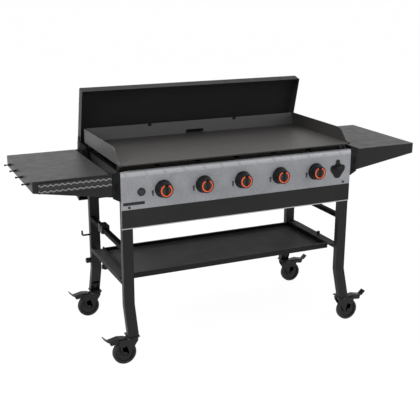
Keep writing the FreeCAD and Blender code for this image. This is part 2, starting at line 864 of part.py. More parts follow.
def lid_arm():
    """Right swing arm: up from the pivot, an elbow, and a foot riveted to the lid's flange."""
    pivot = (lid_pivot_y, lid_pivot_z)
    elbow = (pivot[0] + arm_elbow[0], pivot[1] + arm_elbow[1])
    end = (pivot[0] + arm_end[0], pivot[1] + arm_end[1])
    lean = math.radians(90 - lid_open_angle)
    way = (-math.sin(lean), math.cos(lean))
    foot = [(end[0] + way[0] * s, end[1] + way[1] * s) for s in (-arm_foot_half, arm_foot_half)]
    x0 = lid_half
    x1 = lid_half + arm_thickness
    pieces = [
        bar_with_round_ends(pivot, elbow, arm_half_width, x0, x1),
        bar_with_round_ends(elbow, end, arm_half_width, x0, x1),
        bar_with_round_ends(foot[0], foot[1], arm_foot_half_width, x0, x1),
    ]
    for y, z in foot:
        pieces.append(turned([(0, 0), (arm_rivet_radius, 0), (arm_rivet_radius * 0.6, arm_rivet_height),
                              (0, arm_rivet_height)], (x1, y, z), (1, 0, 0)))
    bore = rod((x0 - 1, pivot[0], pivot[1]), (x1 + 1, pivot[0], pivot[1]), pivot_radius + running_gap)
    return fused(pieces).cut(bore)


def lid_pivot():
    """Shoulder bolt that carries a lid arm, with its spacer on the body and its nut inside."""
    arm_in = lid_half
    arm_out = lid_half + arm_thickness
    profile = [
        (0, side - sheet - pivot_nut), (spacer_radius, side - sheet - pivot_nut),
        (spacer_radius, side - sheet),
        (pivot_radius, side - sheet), (pivot_radius, side), (spacer_radius, side),
        (spacer_radius, arm_in - seat_gap), (pivot_radius, arm_in - seat_gap),
        (pivot_radius, arm_out + seat_gap), (pivot_head_radius, arm_out + seat_gap),
        (pivot_head_radius - 1, arm_out + seat_gap + pivot_head), (0, arm_out + seat_gap + pivot_head),
    ]
    return turned(profile, (0, lid_pivot_y, lid_pivot_z), (1, 0, 0))


def stop_place(turn):
    """Centre (y, z) of the stop bolt that the arm meets when it has turned by this angle."""
    length = math.hypot(*arm_elbow)
    along = math.atan2(arm_elbow[1], arm_elbow[0]) + math.radians(turn)
    offset = arm_half_width + stop_radius + seat_gap
    across = along - math.pi / 2 if turn == 0 else along + math.pi / 2
    reach = min(stop_along_arm, length)
    y = lid_pivot_y + reach * math.cos(along) + offset * math.cos(across)
    z = lid_pivot_z + reach * math.sin(along) + offset * math.sin(across)
    return y, z


def lid_stop(turn):
    """Headed stud on the body's side that the arm rests on."""
    y, z = stop_place(turn)
    neck = lid_half + arm_thickness + 1
    return turned([(0, side), (stop_radius, side), (stop_radius, neck), (stop_head_radius, neck),
                   (stop_head_radius - 1, neck + stop_head), (0, neck + stop_head)], (0, y, z), (1, 0, 0))


def shelf_outline(inset):
    """Front view of the right shelf with its tapered flange, drawn in by the sheet where asked."""
    outer = side + shelf_reach
    low = shelf_top - shelf_root_depth
    inner = shelf_pin_x - shelf_corner_radius
    neck = side + shelf_neck_inset
    return [
        (outer - inset, shelf_top - inset), (outer - inset, shelf_top - shelf_end_depth, shelf_edge_radius),
        (shelf_pin_x + shelf_corner_radius * 0.8, low, shelf_corner_radius),
        (inner, low, shelf_corner_radius), (inner, shelf_top - shelf_neck_drop - shelf_neck_inset, 4),
        (neck, shelf_top - shelf_neck_drop, 4), (neck, shelf_top - inset),
    ]


def side_shelf():
    """Right folding shelf: tray with rounded outer edges, tapered flanges and the latch ears."""
    outer = side + shelf_reach
    inner_edge = side + tray_gap
    low = shelf_top - shelf_root_depth
    body = prism(shelf_outline(0), "xz", shelf_y[0], shelf_y[1])
    edges = []
    for edge in body.Edges:
        middle = edge.CenterOfMass
        upright = abs(middle.x - outer) < 0.1 and abs(middle.y - mid_y) > mid_y / 2
        if upright and edge.Length > shelf_end_depth / 2:
            edges.append(edge)
    body = body.makeFillet(shelf_edge_radius, edges)
    ys = (shelf_y[0] + shelf_sheet, shelf_y[1] - shelf_sheet)
    hollow = box((inner_edge + shelf_sheet, outer - shelf_sheet), ys, (low - 1, shelf_top - shelf_sheet))
    corners = [e for e in hollow.Edges if abs(e.CenterOfMass.x - outer + shelf_sheet) < 0.1
               and e.Length < shelf_root_depth + 1 and abs(e.CenterOfMass.y - mid_y) > 1]
    corners = [e for e in corners if abs(e.tangentAt(e.FirstParameter).z) > 0.9]
    hollow = hollow.makeFillet(shelf_edge_radius - shelf_sheet, corners)
    mouth = box((side - 1, inner_edge), ys, (low - 1, shelf_top + 1))
    under = box((inner_edge - 1, inner_edge + shelf_sheet + 1), ys, (low - 1, shelf_top - shelf_edge_flange))
    tray = body.cut(group([hollow, mouth])).cut(under)
    ears = []
    reach = (latch_pin_x - latch_barrel_radius, inner_edge)
    ear_z = (latch_pin_z - latch_barrel_radius, shelf_top - seat_gap)
    for way in (-1, 1):
        y = latch_centre_y + way * (latch_width / 2 + seat_gap)
        ears.append(box(reach, (y, y + way * latch_ear), ear_z))
    half = latch_width / 2 + seat_gap + latch_ear
    pin = rod((latch_pin_x, latch_centre_y - half, latch_pin_z),
              (latch_pin_x, latch_centre_y + half, latch_pin_z),
              latch_pin_radius)
    holes = []
    for y in (shelf_y[0] - 1, shelf_y[1] - shelf_sheet - 1):
        holes.append(rod((shelf_pin_x, y, shelf_pin_z), (shelf_pin_x, y + shelf_sheet + 2, shelf_pin_z),
                         shelf_pin_radius + running_gap))
    return fused([tray] + ears + [pin]).cut(group(holes))


def shelf_latch():
    """Latch bar that turns on the shelf's ears and lies on the body's ledge."""
    y0 = latch_centre_y - latch_width / 2
    barrel = rod((latch_pin_x, y0, latch_pin_z), (latch_pin_x, y0 + latch_width, latch_pin_z),
                 latch_barrel_radius)
    half = latch_bar_width / 2
    thick = latch_bar_thickness / 2
    bar = box((side + latch_end_inset, latch_pin_x), (latch_centre_y - half, latch_centre_y + half),
              (latch_pin_z - thick, latch_pin_z + thick))
    grip = prism([(side + latch_end_inset, latch_pin_z), (side + latch_end_inset, latch_pin_z + thick + 3),
                  (side + latch_end_inset + 2, latch_pin_z + thick + 3),
                  (side + latch_end_inset + 6, latch_pin_z)],
                 "xz", latch_centre_y - half, latch_centre_y + half)
    bore = rod((latch_pin_x, y0 - 1, latch_pin_z), (latch_pin_x, y0 + latch_width + 1, latch_pin_z),
               latch_pin_radius + running_gap)
    return fused([barrel, bar, grip]).cut(bore)


def shelf_bracket(rear):
    """Right bracket: a flange on the body's side and a plate outside the shelf's flange, with its pin."""
    drop = rear_bracket_drop if rear else shelf_drop
    high = panel_top - drop
    y = (body_depth - bracket_plate, body_depth) if rear else (0, bracket_plate)
    plate = prism([(side, high), (side, panel_top - bracket_inner_depth),
                   (side + bracket_width, panel_top - bracket_outer_depth, 4),
                   (side + bracket_width, high, 4)],
                  "xz", y[0], y[1])
    flange_y = (y[0] - bracket_flange, y[0]) if rear else (y[1], y[1] + bracket_flange)
    flange = box((side, side + bracket_plate), flange_y, (panel_top - bracket_outer_depth, high - 8))
    holes = [rod((side - 1, body_depth - bolt_y if rear else bolt_y, panel_top - bolt_drop),
                 (side + bracket_plate + 1, body_depth - bolt_y if rear else bolt_y, panel_top - bolt_drop),
                 bolt_radius + running_gap) for bolt_drop in bolt_drops]
    way = -1 if rear else 1
    face = body_depth if rear else 0
    depth = bracket_plate + seat_gap + shelf_sheet + seat_gap
    pin = turned([(0, -pin_head), (pin_head_radius - 1, -pin_head), (pin_head_radius, -pin_head / 2),
                  (pin_head_radius, 0), (shelf_pin_radius, 0), (shelf_pin_radius, depth),
                  (pin_head_radius, depth), (pin_head_radius, depth + pin_head), (0, depth + pin_head)],
                 (shelf_pin_x, face, shelf_pin_z), (0, way, 0))
    holes.append(rod((shelf_pin_x, y[0] - 1, shelf_pin_z), (shelf_pin_x, y[1] + 1, shelf_pin_z),
                     shelf_pin_radius))
    return [fused([plate, flange]).cut(group(holes)), pin]


def utensil_hook(y):
    """Peg for a tool on the left shelf's end, with a collar at its root and a ball at its tip."""
    face = -(side + shelf_reach)
    z = shelf_top - hook_drop
    centre = hook_reach - hook_ball_radius
    peg = turned([(0, 0), (hook_collar_radius, 0), (hook_collar_radius, -hook_collar + hook_collar_round),
                  (hook_collar_radius - hook_collar_round, -hook_collar), (hook_radius, -hook_collar),
                  (hook_radius, -centre), (0, -centre)], (face, y, z), (1, 0, 0))
    return fused([peg, Part.makeSphere(hook_ball_radius, V(face - centre, y, z))])


def tool_strip():
    """Magnetic strip on the left shelf's front flange: a frame with two bars let into it."""
    x = (-(side + strip_inner_inset), -(side + strip_inner_inset + strip_length))
    high = panel_top - strip_top_drop
    face = shelf_y[0]
    frame = box(x, (face - strip_frame, face), (high - strip_height, high))
    bars = []
    for drop in strip_bar_drops:
        z = panel_top - drop
        bars.append(box((x[0] - strip_bar_margin, x[1] + strip_bar_margin),
                        (face - strip_frame - strip_bar_proud, face - strip_frame / 2),
                        (z - strip_bar_height / 2, z + strip_bar_height / 2)))
    return group([frame.cut(group(bars))] + bars)


def leg_band(inset):
    """Side view of a front leg: straight down, then splayed forward, drawn in by the wall where asked."""
    half_turn = math.tan(splay / 2)
    tan = math.tan(splay)
    top = panel_top - leg_top_drop + (1 if inset else 0)
    foot = leg_foot_height - (1 if inset else 0)
    front = leg_front + inset
    rear = leg_rear - inset
    bend_front = leg_bend_height - inset * half_turn
    bend_rear = leg_bend_height - (leg_depth - inset) * half_turn
    return [
        (front, top), (front, bend_front, leg_bend_radius + inset),
        (front - (bend_front - foot) * tan, foot), (rear - (bend_rear - foot) * tan, foot),
        (rear, bend_rear, leg_bend_radius + leg_depth - inset), (rear, top),
    ]


def leg():
    """Front right leg of rectangular tube with holes for its two bolts and an opening at its foot."""
    outer = prism(leg_band(0), "yz", leg_inner, leg_outer)
    inner = prism(leg_band(leg_wall), "yz", leg_inner + leg_wall, leg_outer - leg_wall)
    holes = [rod((leg_outer - leg_wall - 1, bolt_y, panel_top - drop),
                 (leg_outer + 1, bolt_y, panel_top - drop),
                 bolt_radius + running_gap) for drop in bolt_drops]
    low, high = leg_foot_height - 1, leg_foot_height + foot_opening_height
    x0, x1 = leg_inner + foot_opening_margin, leg_outer - foot_opening_margin
    y0 = leg_front - (leg_bend_height - high) * math.tan(splay) + 2 * leg_wall
    opening = prism([(x0, low), (x1, low), (x1, high, foot_opening_round), (x0, high, foot_opening_round)],
                    "xz", y0, leg_rear + 1)
    return outer.cut(inner).cut(group(holes)).cut(opening)


def leg_bolt(drop):
    """Bolt through a shelf bracket and the body's side into a leg, with its nut in the tube."""
    inner = leg_outer - leg_wall
    outer = side + bracket_plate
    nut_radius = bolt_head_radius - 1
    return turned([(0, inner - bolt_nut), (nut_radius, inner - bolt_nut), (nut_radius, inner),
                   (bolt_radius, inner), (bolt_radius, outer), (bolt_head_radius, outer),
                   (bolt_head_radius - 2, outer + bolt_head), (0, outer + bolt_head)],
                  (0, bolt_y, panel_top - drop), (1, 0, 0))


def foot_plug():
    """Block inside the foot of the front right leg, with the screw head that shows in the leg's opening."""
    gap = leg_wall + plug_gap
    block = prism(leg_band(gap), "yz", leg_inner + gap, leg_outer - gap)
    block = block.common(box((leg_inner, leg_outer), (leg_front - leg_bend_height, leg_rear + leg_bend_height),
                             (leg_foot_height, leg_foot_height + plug_height)))
    z = leg_foot_height + plug_screw_rise
    wall = leg_rear - (leg_bend_height - leg_depth * math.tan(splay / 2) - z) * math.tan(splay)
    screw = rod((leg_x, wall - 3 * gap, z), (leg_x, wall - gap + plug_screw_head, z), plug_screw_radius)
    return fused([block, screw])


def cross_bar(top):
    """Square tube between the front and the rear leg of the right side, flush with their outside."""
    y = (leg_rear, body_depth - leg_rear)
    outer = box((bar_inner, leg_outer), y, (top - bar_height, top))
    inner = box((bar_inner + bar_wall, leg_outer - bar_wall), (y[0] - 1, y[1] + 1),
                (top - bar_height + bar_wall, top - bar_wall))
    return outer.cut(inner)


def bottom_tray():
    """Storage tray: a pan with hemmed front and rear lips, hung by its side flanges on the lower bars."""
    shell = box(tray_x, tray_y, (tray_low, tray_rim))
    hollow = box((tray_x[0] + tray_sheet, tray_x[1] - tray_sheet),
                 (tray_y[0] + tray_sheet, tray_y[1] - tray_sheet),
                 (tray_low + tray_sheet, tray_rim + 1))
    dip = box((tray_x[0] + tray_hem, tray_x[1] - tray_hem), (tray_y[1] - tray_sheet - 1, tray_y[1] + 1),
              (tray_rim - tray_rear_dip, tray_rim + 1))
    pieces = [shell.cut(hollow).cut(dip)]
    hem_x = (tray_x[0] + tray_hem, tray_x[1] - tray_hem)
    pieces.append(box(hem_x, (tray_y[0], tray_y[0] + tray_hem), (tray_rim - tray_sheet, tray_rim)))
    rear_lip = tray_rim - tray_rear_dip
    pieces.append(box(hem_x, (tray_y[1] - tray_hem, tray_y[1]), (rear_lip - tray_sheet, rear_lip)))
    flange_z = (lower_bar_top, lower_bar_top + tray_sheet)
    pieces.append(box((-leg_outer, tray_x[0] + tray_sheet), tray_y, flange_z))
    pieces.append(box((tray_x[1] - tray_sheet, leg_outer), tray_y, flange_z))
    return fused(pieces)


def thumbscrew(x, y, z, way, radius, height):
    """Lobed hand screw whose neck meets a bar or the tray's flange."""
    neck = rod((x, y, z), (x, y, z + way * thumb_neck), radius / 2)
    head = rod((x, y, z + way * thumb_neck), (x, y, z + way * (thumb_neck + height)), radius)
    notches = []
    for i in range(thumb_lobes):
        angle = 2 * math.pi * i / thumb_lobes
        a = x + radius * math.cos(angle)
        b = y + radius * math.sin(angle)
        notches.append(rod((a, b, z + way * (thumb_neck - 1)), (a, b, z + way * (thumb_neck + height + 1)),
                           radius / 4))
    return fused([neck, head.cut(group(notches))])


def tank_bracket():
    """Block clamped over the left upper bar, which the foot ring of a gas bottle leans on."""
    x = (-leg_outer - tank_bracket_outer, -bar_inner + tank_bracket_reach)
    high = upper_bar_top + tank_bracket_rise
    low = upper_bar_top - bar_height - tank_bracket_drop
    block = box(x, tank_bracket_y, (low, high))
    bar = box((-leg_outer, -bar_inner), (0, body_depth), (upper_bar_top - bar_height, upper_bar_top))
    middle = (tank_bracket_y[0] + tank_bracket_y[1]) / 2
    screw = rod((x[0] - 2, middle, upper_bar_top), (x[0], middle, upper_bar_top), bolt_head_radius)
    return fused([block.cut(bar), screw])


def bag_hook():
    """Stout wire hook and a peg on the outside of the rear left leg, for a bag or a towel."""
    face = -leg_outer
    tip_x = face - bag_reach + bag_wire
    wire = swept([(face, bag_height), (tip_x, bag_height, bag_bend), (tip_x, bag_height + bag_tip_rise)],
                 "xz", bag_y, bag_wire)
    peg = turned([(0, 0), (bag_peg_radius, 0), (bag_peg_radius, -bag_peg_length + bag_peg_round),
                  (bag_peg_radius - bag_peg_round, -bag_peg_length), (0, -bag_peg_length)],
                 (face, bag_y, peg_height), (1, 0, 0))
    return [wire, peg]


def cup_hanger():
    """Bracket on the rear panel with an upstanding lip that the grease cup hooks over."""
    lip_top = panel_top - cup_rim_drop - cup_sheet - seat_gap
    low = lip_top - hanger_lip
    y = body_depth
    profile = [(y, low - hanger_base), (y + hanger_sheet, low - hanger_base),
               (y + hanger_sheet, low - hanger_sheet),
               (y + hanger_offset + hanger_sheet, low - hanger_sheet),
               (y + hanger_offset + hanger_sheet, lip_top),
               (y + hanger_offset, lip_top), (y + hanger_offset, low), (y, low)]
    return prism(profile, "yz", -hanger_width / 2, hanger_width / 2)


def grease_cup():
    """Tapered cup with a rolled rim and a hook that goes over the hanger's lip."""
    front = body_depth + hanger_offset + hanger_sheet + seat_gap
    high = panel_top - cup_rim_drop
    middle_y = front + cup_depth / 2

    def section(half_x, half_y, z, radius):
        corners = [(-half_x, middle_y - half_y, radius), (half_x, middle_y - half_y, radius),
                   (half_x, middle_y + half_y, radius), (-half_x, middle_y + half_y, radius)]
        return rounded_path(corners, "xy", z, True)

    half_x = cup_width / 2
    half_y = cup_depth / 2
    low = high - cup_height
    outer = Part.makeLoft([section(half_x - cup_taper, half_y - cup_taper, low, cup_corner),
                           section(half_x, half_y, high, cup_corner)], True, True)
    lean = cup_taper * cup_sheet / cup_height
    inner = Part.makeLoft([section(half_x - cup_taper - cup_sheet + lean,
                                   half_y - cup_taper - cup_sheet + lean,
                                   low + cup_sheet, cup_corner - cup_sheet),
                           section(half_x - cup_sheet, half_y - cup_sheet, high + 0.001,
                                   cup_corner - cup_sheet)],
                          True, True)
    rim_face = Part.Face([section(half_x + cup_rim, half_y, high, cup_corner),
                          section(half_x - cup_sheet, half_y - cup_sheet, high, cup_corner - cup_sheet)])
    rim = rim_face.extrude(V(0, 0, -cup_sheet))
    hook_y = body_depth + hanger_offset - seat_gap - 1
    hook_half = (hanger_width - 4) / 2
    bridge = box((-hook_half, hook_half), (hook_y - cup_sheet, front + cup_sheet), (high - cup_sheet, high))
    leg_down = box((-hook_half, hook_half), (hook_y - cup_sheet, hook_y), (high - cup_hook, high))
    return fused([outer.cut(inner), rim, bridge, leg_down])


def caster_place(left, rear):
    """Swivel axis of a caster and the way it trails."""
    x = -leg_x if left else leg_x
    front_y = foot_y + caster_inset
    y = body_depth - front_y if rear else front_y
    return x, y, -1 if left else 1


def caster_mount(x, y, way):
    """Foot plate under a leg with the plug in the leg, the upper ball race, the king pin and its nut."""
    half_x = leg_width / 2 + foot_margin
    half_y = leg_depth / math.cos(splay) / 2 + foot_margin
    inward = 1 if y < mid_y else -1
    plate = box((x - half_x, x + half_x),
                (y - inward * (caster_inset + half_y), y + inward * race_radius),
                (leg_foot_height - foot_plate, leg_foot_height))
    under = leg_foot_height - foot_plate
    race_low = under - race_height
    race = turned([(0, 0), (race_radius - 3, 0), (race_radius, -race_height), (0, -race_height)],
                  (x, y, under), (0, 0, 1))
    nut_top = crown_top - crown_thickness - seat_gap
    pin = rod((x, y, nut_top - kingpin_nut), (x, y, race_low), kingpin_radius)
    nut = polygon_nut((x, y, nut_top - kingpin_nut), (0, 0, 1), kingpin_nut_radius, kingpin_nut)
    plug = foot_plug()
    if x < 0:
        plug = mirror_x(plug)
    if y > mid_y:
        plug = mirror_y(plug)
    return fused([plate, race, pin, nut, plug])


def caster_fork(x, y, way):
    """Pressed fork: lower race, crown and two cheeks that reach back to the axle, with its axle."""
    inner = wheel_width / 2 + fork_gap
    outer = inner + fork_plate
    under = leg_foot_height - foot_plate - race_height - seat_gap
    cup = turned([(kingpin_radius + running_gap, crown_top), (race_radius + 3, crown_top),
                  (race_radius + 1, under), (kingpin_radius + running_gap, under)], (x, y, 0), (0, 0, 1))
    crown = box((x - way * crown_front, x + way * crown_rear), (y - outer, y + outer),
                (crown_top - crown_thickness, crown_top))
    bore = rod((x, y, crown_top - crown_thickness - 1), (x, y, crown_top + 1), kingpin_radius + running_gap)
    px, pz = pedal_pivot
    cheek_outline = [
        (x - way * crown_front, crown_top, 5), (x - way * crown_front, crown_top - 12, 6),
        (x + way * (trail - 2 * fork_corner), wheel_z + 8, 10),
        (x + way * (trail - fork_corner), wheel_z - fork_corner, 12),
        (x + way * (trail + fork_corner), wheel_z - fork_corner, 12),
        (x + way * (trail + fork_corner), wheel_z + 4, 6),
        (x + way * (px + 12), pz - 6, 5), (x + way * (px + 9), crown_top, 5),
    ]
    pieces = [cup, crown.cut(bore)]
    for y0, y1 in ((y - outer, y - inner), (y + inner, y + outer)):
        pieces.append(prism(cheek_outline, "xz", y0, y1))
    pin = rod((x + way * px, y - outer, pz), (x + way * px, y + outer, pz), pedal_pin_radius)
    axle_x = x + way * trail
    hole = rod((axle_x, y - outer - 1, wheel_z), (axle_x, y + outer + 1, wheel_z), axle_radius)
    axle = turned([(0, -outer - axle_head), (axle_head_radius - 1, -outer - axle_head),
                   (axle_head_radius, -outer - 1), (axle_head_radius, -outer), (axle_radius, -outer),
                   (axle_radius, outer), (axle_head_radius, outer), (axle_head_radius, outer + 1),
                   (axle_head_radius - 1, outer + axle_head), (0, outer + axle_head)],
                   (axle_x, y, wheel_z), (0, 1, 0))
    return group([fused(pieces + [pin]).cut(hole), axle])


def caster_wheel(x, y, way):
    """Wheel with a rounded tread, a grooved side and a hub as wide as the fork allows."""
    half = wheel_width / 2
    bore = axle_radius + running_gap
    rim = wheel_radius - tyre_depth
    side_profile = [(hub_radius, half + fork_gap - seat_gap), (hub_radius + 2, half - 3),
                    (hub_radius + 3, web_half),
                    (rim - 3, web_half), (rim - 1, half - 1), (rim + 1, half - 1), (rim + 2, half),
                    (wheel_radius - tyre_round, half), (wheel_radius - 1.2, half - tyre_round * 0.55),
                    (wheel_radius, half - tyre_round * 1.4)]
    profile = [(bore, half + fork_gap - seat_gap)] + side_profile
    profile += [(r, -t) for r, t in reversed(side_profile)]
    profile.append((bore, -half - fork_gap + seat_gap))
    return turned(profile, (x + way * trail, y, wheel_z), (0, 1, 0))


def brake_pedal(x, y, way):
    """Foot pedal over the wheel: a curved tread with a turned-up tip, side ribs and a brake shoe."""
    px, pz = pedal_pivot
    upper = [pedal_tread_start, pedal_crest + (14,), pedal_dip + (8,), pedal_tip]
    lower = [(pedal_tip[0] + pedal_tread * 0.7, pedal_tip[1] - pedal_tread * 0.7),
             (pedal_dip[0] + 2, pedal_dip[1] - pedal_tread, 8),
             (pedal_crest[0] + 1, pedal_crest[1] - pedal_tread, 14),
             (pedal_tread_start[0] + 1, pedal_tread_start[1] - pedal_tread)]
    hub_radius_outer = pedal_pin_radius + pedal_hub
    rib = [(pedal_tread_start[0] + 6, pedal_tread_start[1] - pedal_tread / 2),
           (pedal_crest[0], pedal_crest[1] - pedal_tread / 2, 12), (pedal_dip[0] - 4, pedal_dip[1]),
           (shoe_reach[1], shoe_low, pedal_round), (shoe_reach[0], shoe_low + 2, pedal_round),
           (px + 10, pz - 7.5, 3), (px - 4, pz - 6.5, pedal_round), (px - 10, pz + 1, 3)]
    half = pedal_half_width
    plate = prism([(x + way * a[0], a[1]) + tuple(a[2:]) for a in upper + lower], "xz", y - half, y + half)
    side_plates = []
    for y0, y1 in ((y - half, y - half + pedal_skin), (y + half - pedal_skin, y + half)):
        side_plates.append(prism([(x + way * a[0], a[1]) + tuple(a[2:]) for a in rib], "xz", y0, y1))
    shoe = box((x + way * shoe_reach[0], x + way * shoe_reach[1]), (y - half, y + half),
               (shoe_low + 1.5, pedal_dip[1] + 1))
    hub = rod((x + way * px, y - half, pz), (x + way * px, y + half, pz), hub_radius_outer)
    bore = rod((x + way * px, y - half - 1, pz), (x + way * px, y + half + 1, pz),
               pedal_pin_radius + running_gap)
    return fused([plate, hub, shoe] + side_plates).cut(bore)


casters = [caster_place(left, rear) for rear in (False, True) for left in (True, False)]
hook_solids = [utensil_hook(y) for y in hook_places]
pegs = [griddle_peg(way * (side - side_flange / 2), y) for way in (-1, 1)
        for y in (peg_inset_y, body_depth - peg_inset_y)]
right_brackets = shelf_bracket(False) + shelf_bracket(True)
right_bolts = [leg_bolt(drop) for drop in bolt_drops]
right_bolts += [mirror_y(bolt) for bolt in right_bolts]
right_leg = leg()
right_legs = [right_leg, mirror_y(right_leg)]
right_pivots = [lid_pivot(), lid_stop(0), lid_stop(lid_open_angle)]

nodes = {
    "control_panel": control_panel(),
    "trim_band": trim_band(),
    "right_side_panel": side_panel(),
    "rear_panel": rear_panel(),
    "front_baffle": front_baffle(),
    "firebox_pan": firebox_pan(),
    "burners": group([burner(x) for x in knob_xs]),
    "gas_manifold": gas_manifold(),
    "gas_valves": group([gas_valve(x) for x in knob_xs]),
    "knob_bezels": group([knob_bezel(x) for x in knob_xs]),
    "igniter_housing": igniter_housing(),
    "igniter_button": igniter_button(),
    "bottle_opener": bottle_opener(),
    "griddle_plate": griddle_plate(),
    "griddle_pegs": group(pegs),
    "lid_pan": lid_pan(),
    "lid_arms": group([lid_arm(), mirror_x(lid_arm())]),
    "lid_pivots": group(right_pivots + [mirror_x(piece) for piece in right_pivots]),
    "right_shelf": side_shelf(),
    "right_latch": shelf_latch(),
    "shelf_brackets": group(right_brackets + [mirror_x(piece) for piece in right_brackets]),
    "utensil_hooks": group(hook_solids),
    "tool_strip": tool_strip(),
    "legs": group(right_legs + [mirror_x(piece) for piece in right_legs]),
    "leg_bolts": group(right_bolts + [mirror_x(piece) for piece in right_bolts]),
    "upper_bars": group([cross_bar(upper_bar_top), mirror_x(cross_bar(upper_bar_top))]),
    "lower_bars": group([cross_bar(lower_bar_top), mirror_x(cross_bar(lower_bar_top))]),
    "bottom_tray": bottom_tray(),
    "tray_thumbscrews": group([
        thumbscrew(-bar_x, left_thumb[0], lower_bar_top - bar_height, -1, left_thumb[1], left_thumb[2]),
        thumbscrew(bar_x, right_thumb[0], lower_bar_top + tray_sheet, 1, right_thumb[1], right_thumb[2])]),
    "tank_bracket": tank_bracket(),
    "bag_hook": group(bag_hook()),
    "cup_hanger": cup_hanger(),
    "grease_cup": grease_cup(),
    "caster_mounts": group([caster_mount(*place) for place in casters]),
}
nodes["left_side_panel"] = mirror_x(nodes["right_side_panel"])
nodes["left_shelf"] = mirror_x(nodes["right_shelf"])
nodes["left_latch"] = mirror_x(nodes["right_latch"])
for i, x in enumerate(knob_xs):
    nodes["knob_%d" % (i + 1)] = knob(x)
    nodes["valve_plug_%d" % (i + 1)] = valve_plug(x)
for i, place in enumerate(casters):
    nodes["caster_fork_%d" % (i + 1)] = caster_fork(*place)
    nodes["caster_wheel_%d" % (i + 1)] = caster_wheel(*place)
    nodes["brake_pedal_%d" % (i + 1)] = brake_pedal(*place)

whole = Part.makeCompound(list(nodes.values())).BoundBox
origin = V((whole.XMin + whole.XMax) / 2, (whole.YMin + whole.YMax) / 2, whole.ZMin)

os.makedirs("parts", exist_ok=True)
for name, shape in nodes.items():
    moved = shape.copy()
    moved.translate(origin * -1)
    if not moved.isValid():
        print("not valid:", name)
    moved.exportStep("parts/%s.step" % name)
print(len(nodes), "nodes", "box %.1f x %.1f x %.1f" % (whole.XLength, whole.YLength, whole.ZLength))
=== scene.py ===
import json
import math

import bmesh
import bpy
from mathutils import Matrix, Vector


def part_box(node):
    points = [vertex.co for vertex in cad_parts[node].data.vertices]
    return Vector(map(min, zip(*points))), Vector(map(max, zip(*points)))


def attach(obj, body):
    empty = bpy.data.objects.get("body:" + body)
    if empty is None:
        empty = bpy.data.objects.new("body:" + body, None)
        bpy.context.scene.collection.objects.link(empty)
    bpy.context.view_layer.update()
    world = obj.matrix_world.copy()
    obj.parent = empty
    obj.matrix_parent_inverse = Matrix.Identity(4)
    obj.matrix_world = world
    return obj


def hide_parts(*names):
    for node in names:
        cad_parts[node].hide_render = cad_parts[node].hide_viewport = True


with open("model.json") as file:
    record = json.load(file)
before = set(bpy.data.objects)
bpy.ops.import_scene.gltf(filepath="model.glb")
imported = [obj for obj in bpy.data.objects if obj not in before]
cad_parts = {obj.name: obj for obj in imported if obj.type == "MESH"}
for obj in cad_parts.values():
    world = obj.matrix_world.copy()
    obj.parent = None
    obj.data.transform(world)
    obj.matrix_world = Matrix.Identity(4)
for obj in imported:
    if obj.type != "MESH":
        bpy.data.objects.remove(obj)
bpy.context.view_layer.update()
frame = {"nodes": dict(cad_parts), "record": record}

MM = 0.001
scene = bpy.context.scene
nodes = frame["nodes"]
bodies = frame["record"]["behaviour"]["bodies"]
body_of = {node: body for body, members in bodies.items() for node in members}

# The drawing coordinates: x from the panel's left end, y from its front face, z from its top edge
panel_low, panel_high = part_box("control_panel")
left_x = panel_low.x
front_y = panel_low.y
top_z = panel_high.z
panel_width = (panel_high.x - panel_low.x) / MM


def at(x, y, z):
    """Point in the row frame from drawing coordinates in millimetres."""
    return Vector((left_x + x * MM, front_y + y * MM, top_z + z * MM))


# Camera at the photograph's viewpoint
def make_camera():
    """Camera placed and turned as the photograph was taken, in a 420 by 420 frame."""
    focal_px = 800.0
    photo_px = 420.0
    sensor_mm = 36.0
    yaw = math.radians(24.61)
    pitch = math.radians(16.83)
    roll = math.radians(0.24)
    forward = Vector((math.sin(yaw) * math.cos(pitch), math.cos(yaw) * math.cos(pitch), -math.sin(pitch)))
    right = Vector((math.cos(yaw), -math.sin(yaw), 0))
    up = right.cross(forward)
    right2 = right * math.cos(roll) + up * math.sin(roll)
    up2 = up * math.cos(roll) - right * math.sin(roll)
    data = bpy.data.cameras.new("camera")
    data.sensor_fit = "HORIZONTAL"
    data.sensor_width = sensor_mm
    data.lens = focal_px / photo_px * sensor_mm
    data.clip_start = 0.05
    data.clip_end = 60
    camera = bpy.data.objects.new("camera", data)
    scene.collection.objects.link(camera)
    place = at(-942.0, -2898.7, 766.6)
    rows = Matrix((right2, up2, -forward)).transposed().to_4x4()
    camera.matrix_world = Matrix.Translation(place) @ rows
    scene.camera = camera


make_camera()


# Materials: every one is built from nodes and depends only on the place on the object
def new_material(name):
    """Empty node material with its output and its Principled shader."""
    mat = bpy.data.materials.new(name)
    mat.use_nodes = True
    tree = mat.node_tree
    tree.nodes.clear()
    out = tree.nodes.new("ShaderNodeOutputMaterial")
    shader = tree.nodes.new("ShaderNodeBsdfPrincipled")
    tree.links.new(shader.outputs["BSDF"], out.inputs["Surface"])
    return mat, tree, shader


def coords(tree, scale=(1, 1, 1)):
    """Object coordinates in metres, scaled along each axis."""
    tex = tree.nodes.new("ShaderNodeTexCoord")
    mapping = tree.nodes.new("ShaderNodeMapping")
    mapping.inputs["Scale"].default_value = scale
    tree.links.new(tex.outputs["Object"], mapping.inputs["Vector"])
    return mapping.outputs["Vector"]


def noise(tree, vector, scale, detail=3.0, rough=0.55):
    """Noise factor between 0 and 1."""
    tex = tree.nodes.new("ShaderNodeTexNoise")
    tex.inputs["Scale"].default_value = scale
    tex.inputs["Detail"].default_value = detail
    tex.inputs["Roughness"].default_value = rough
    tree.links.new(vector, tex.inputs["Vector"])
    return tex.outputs["Fac"]


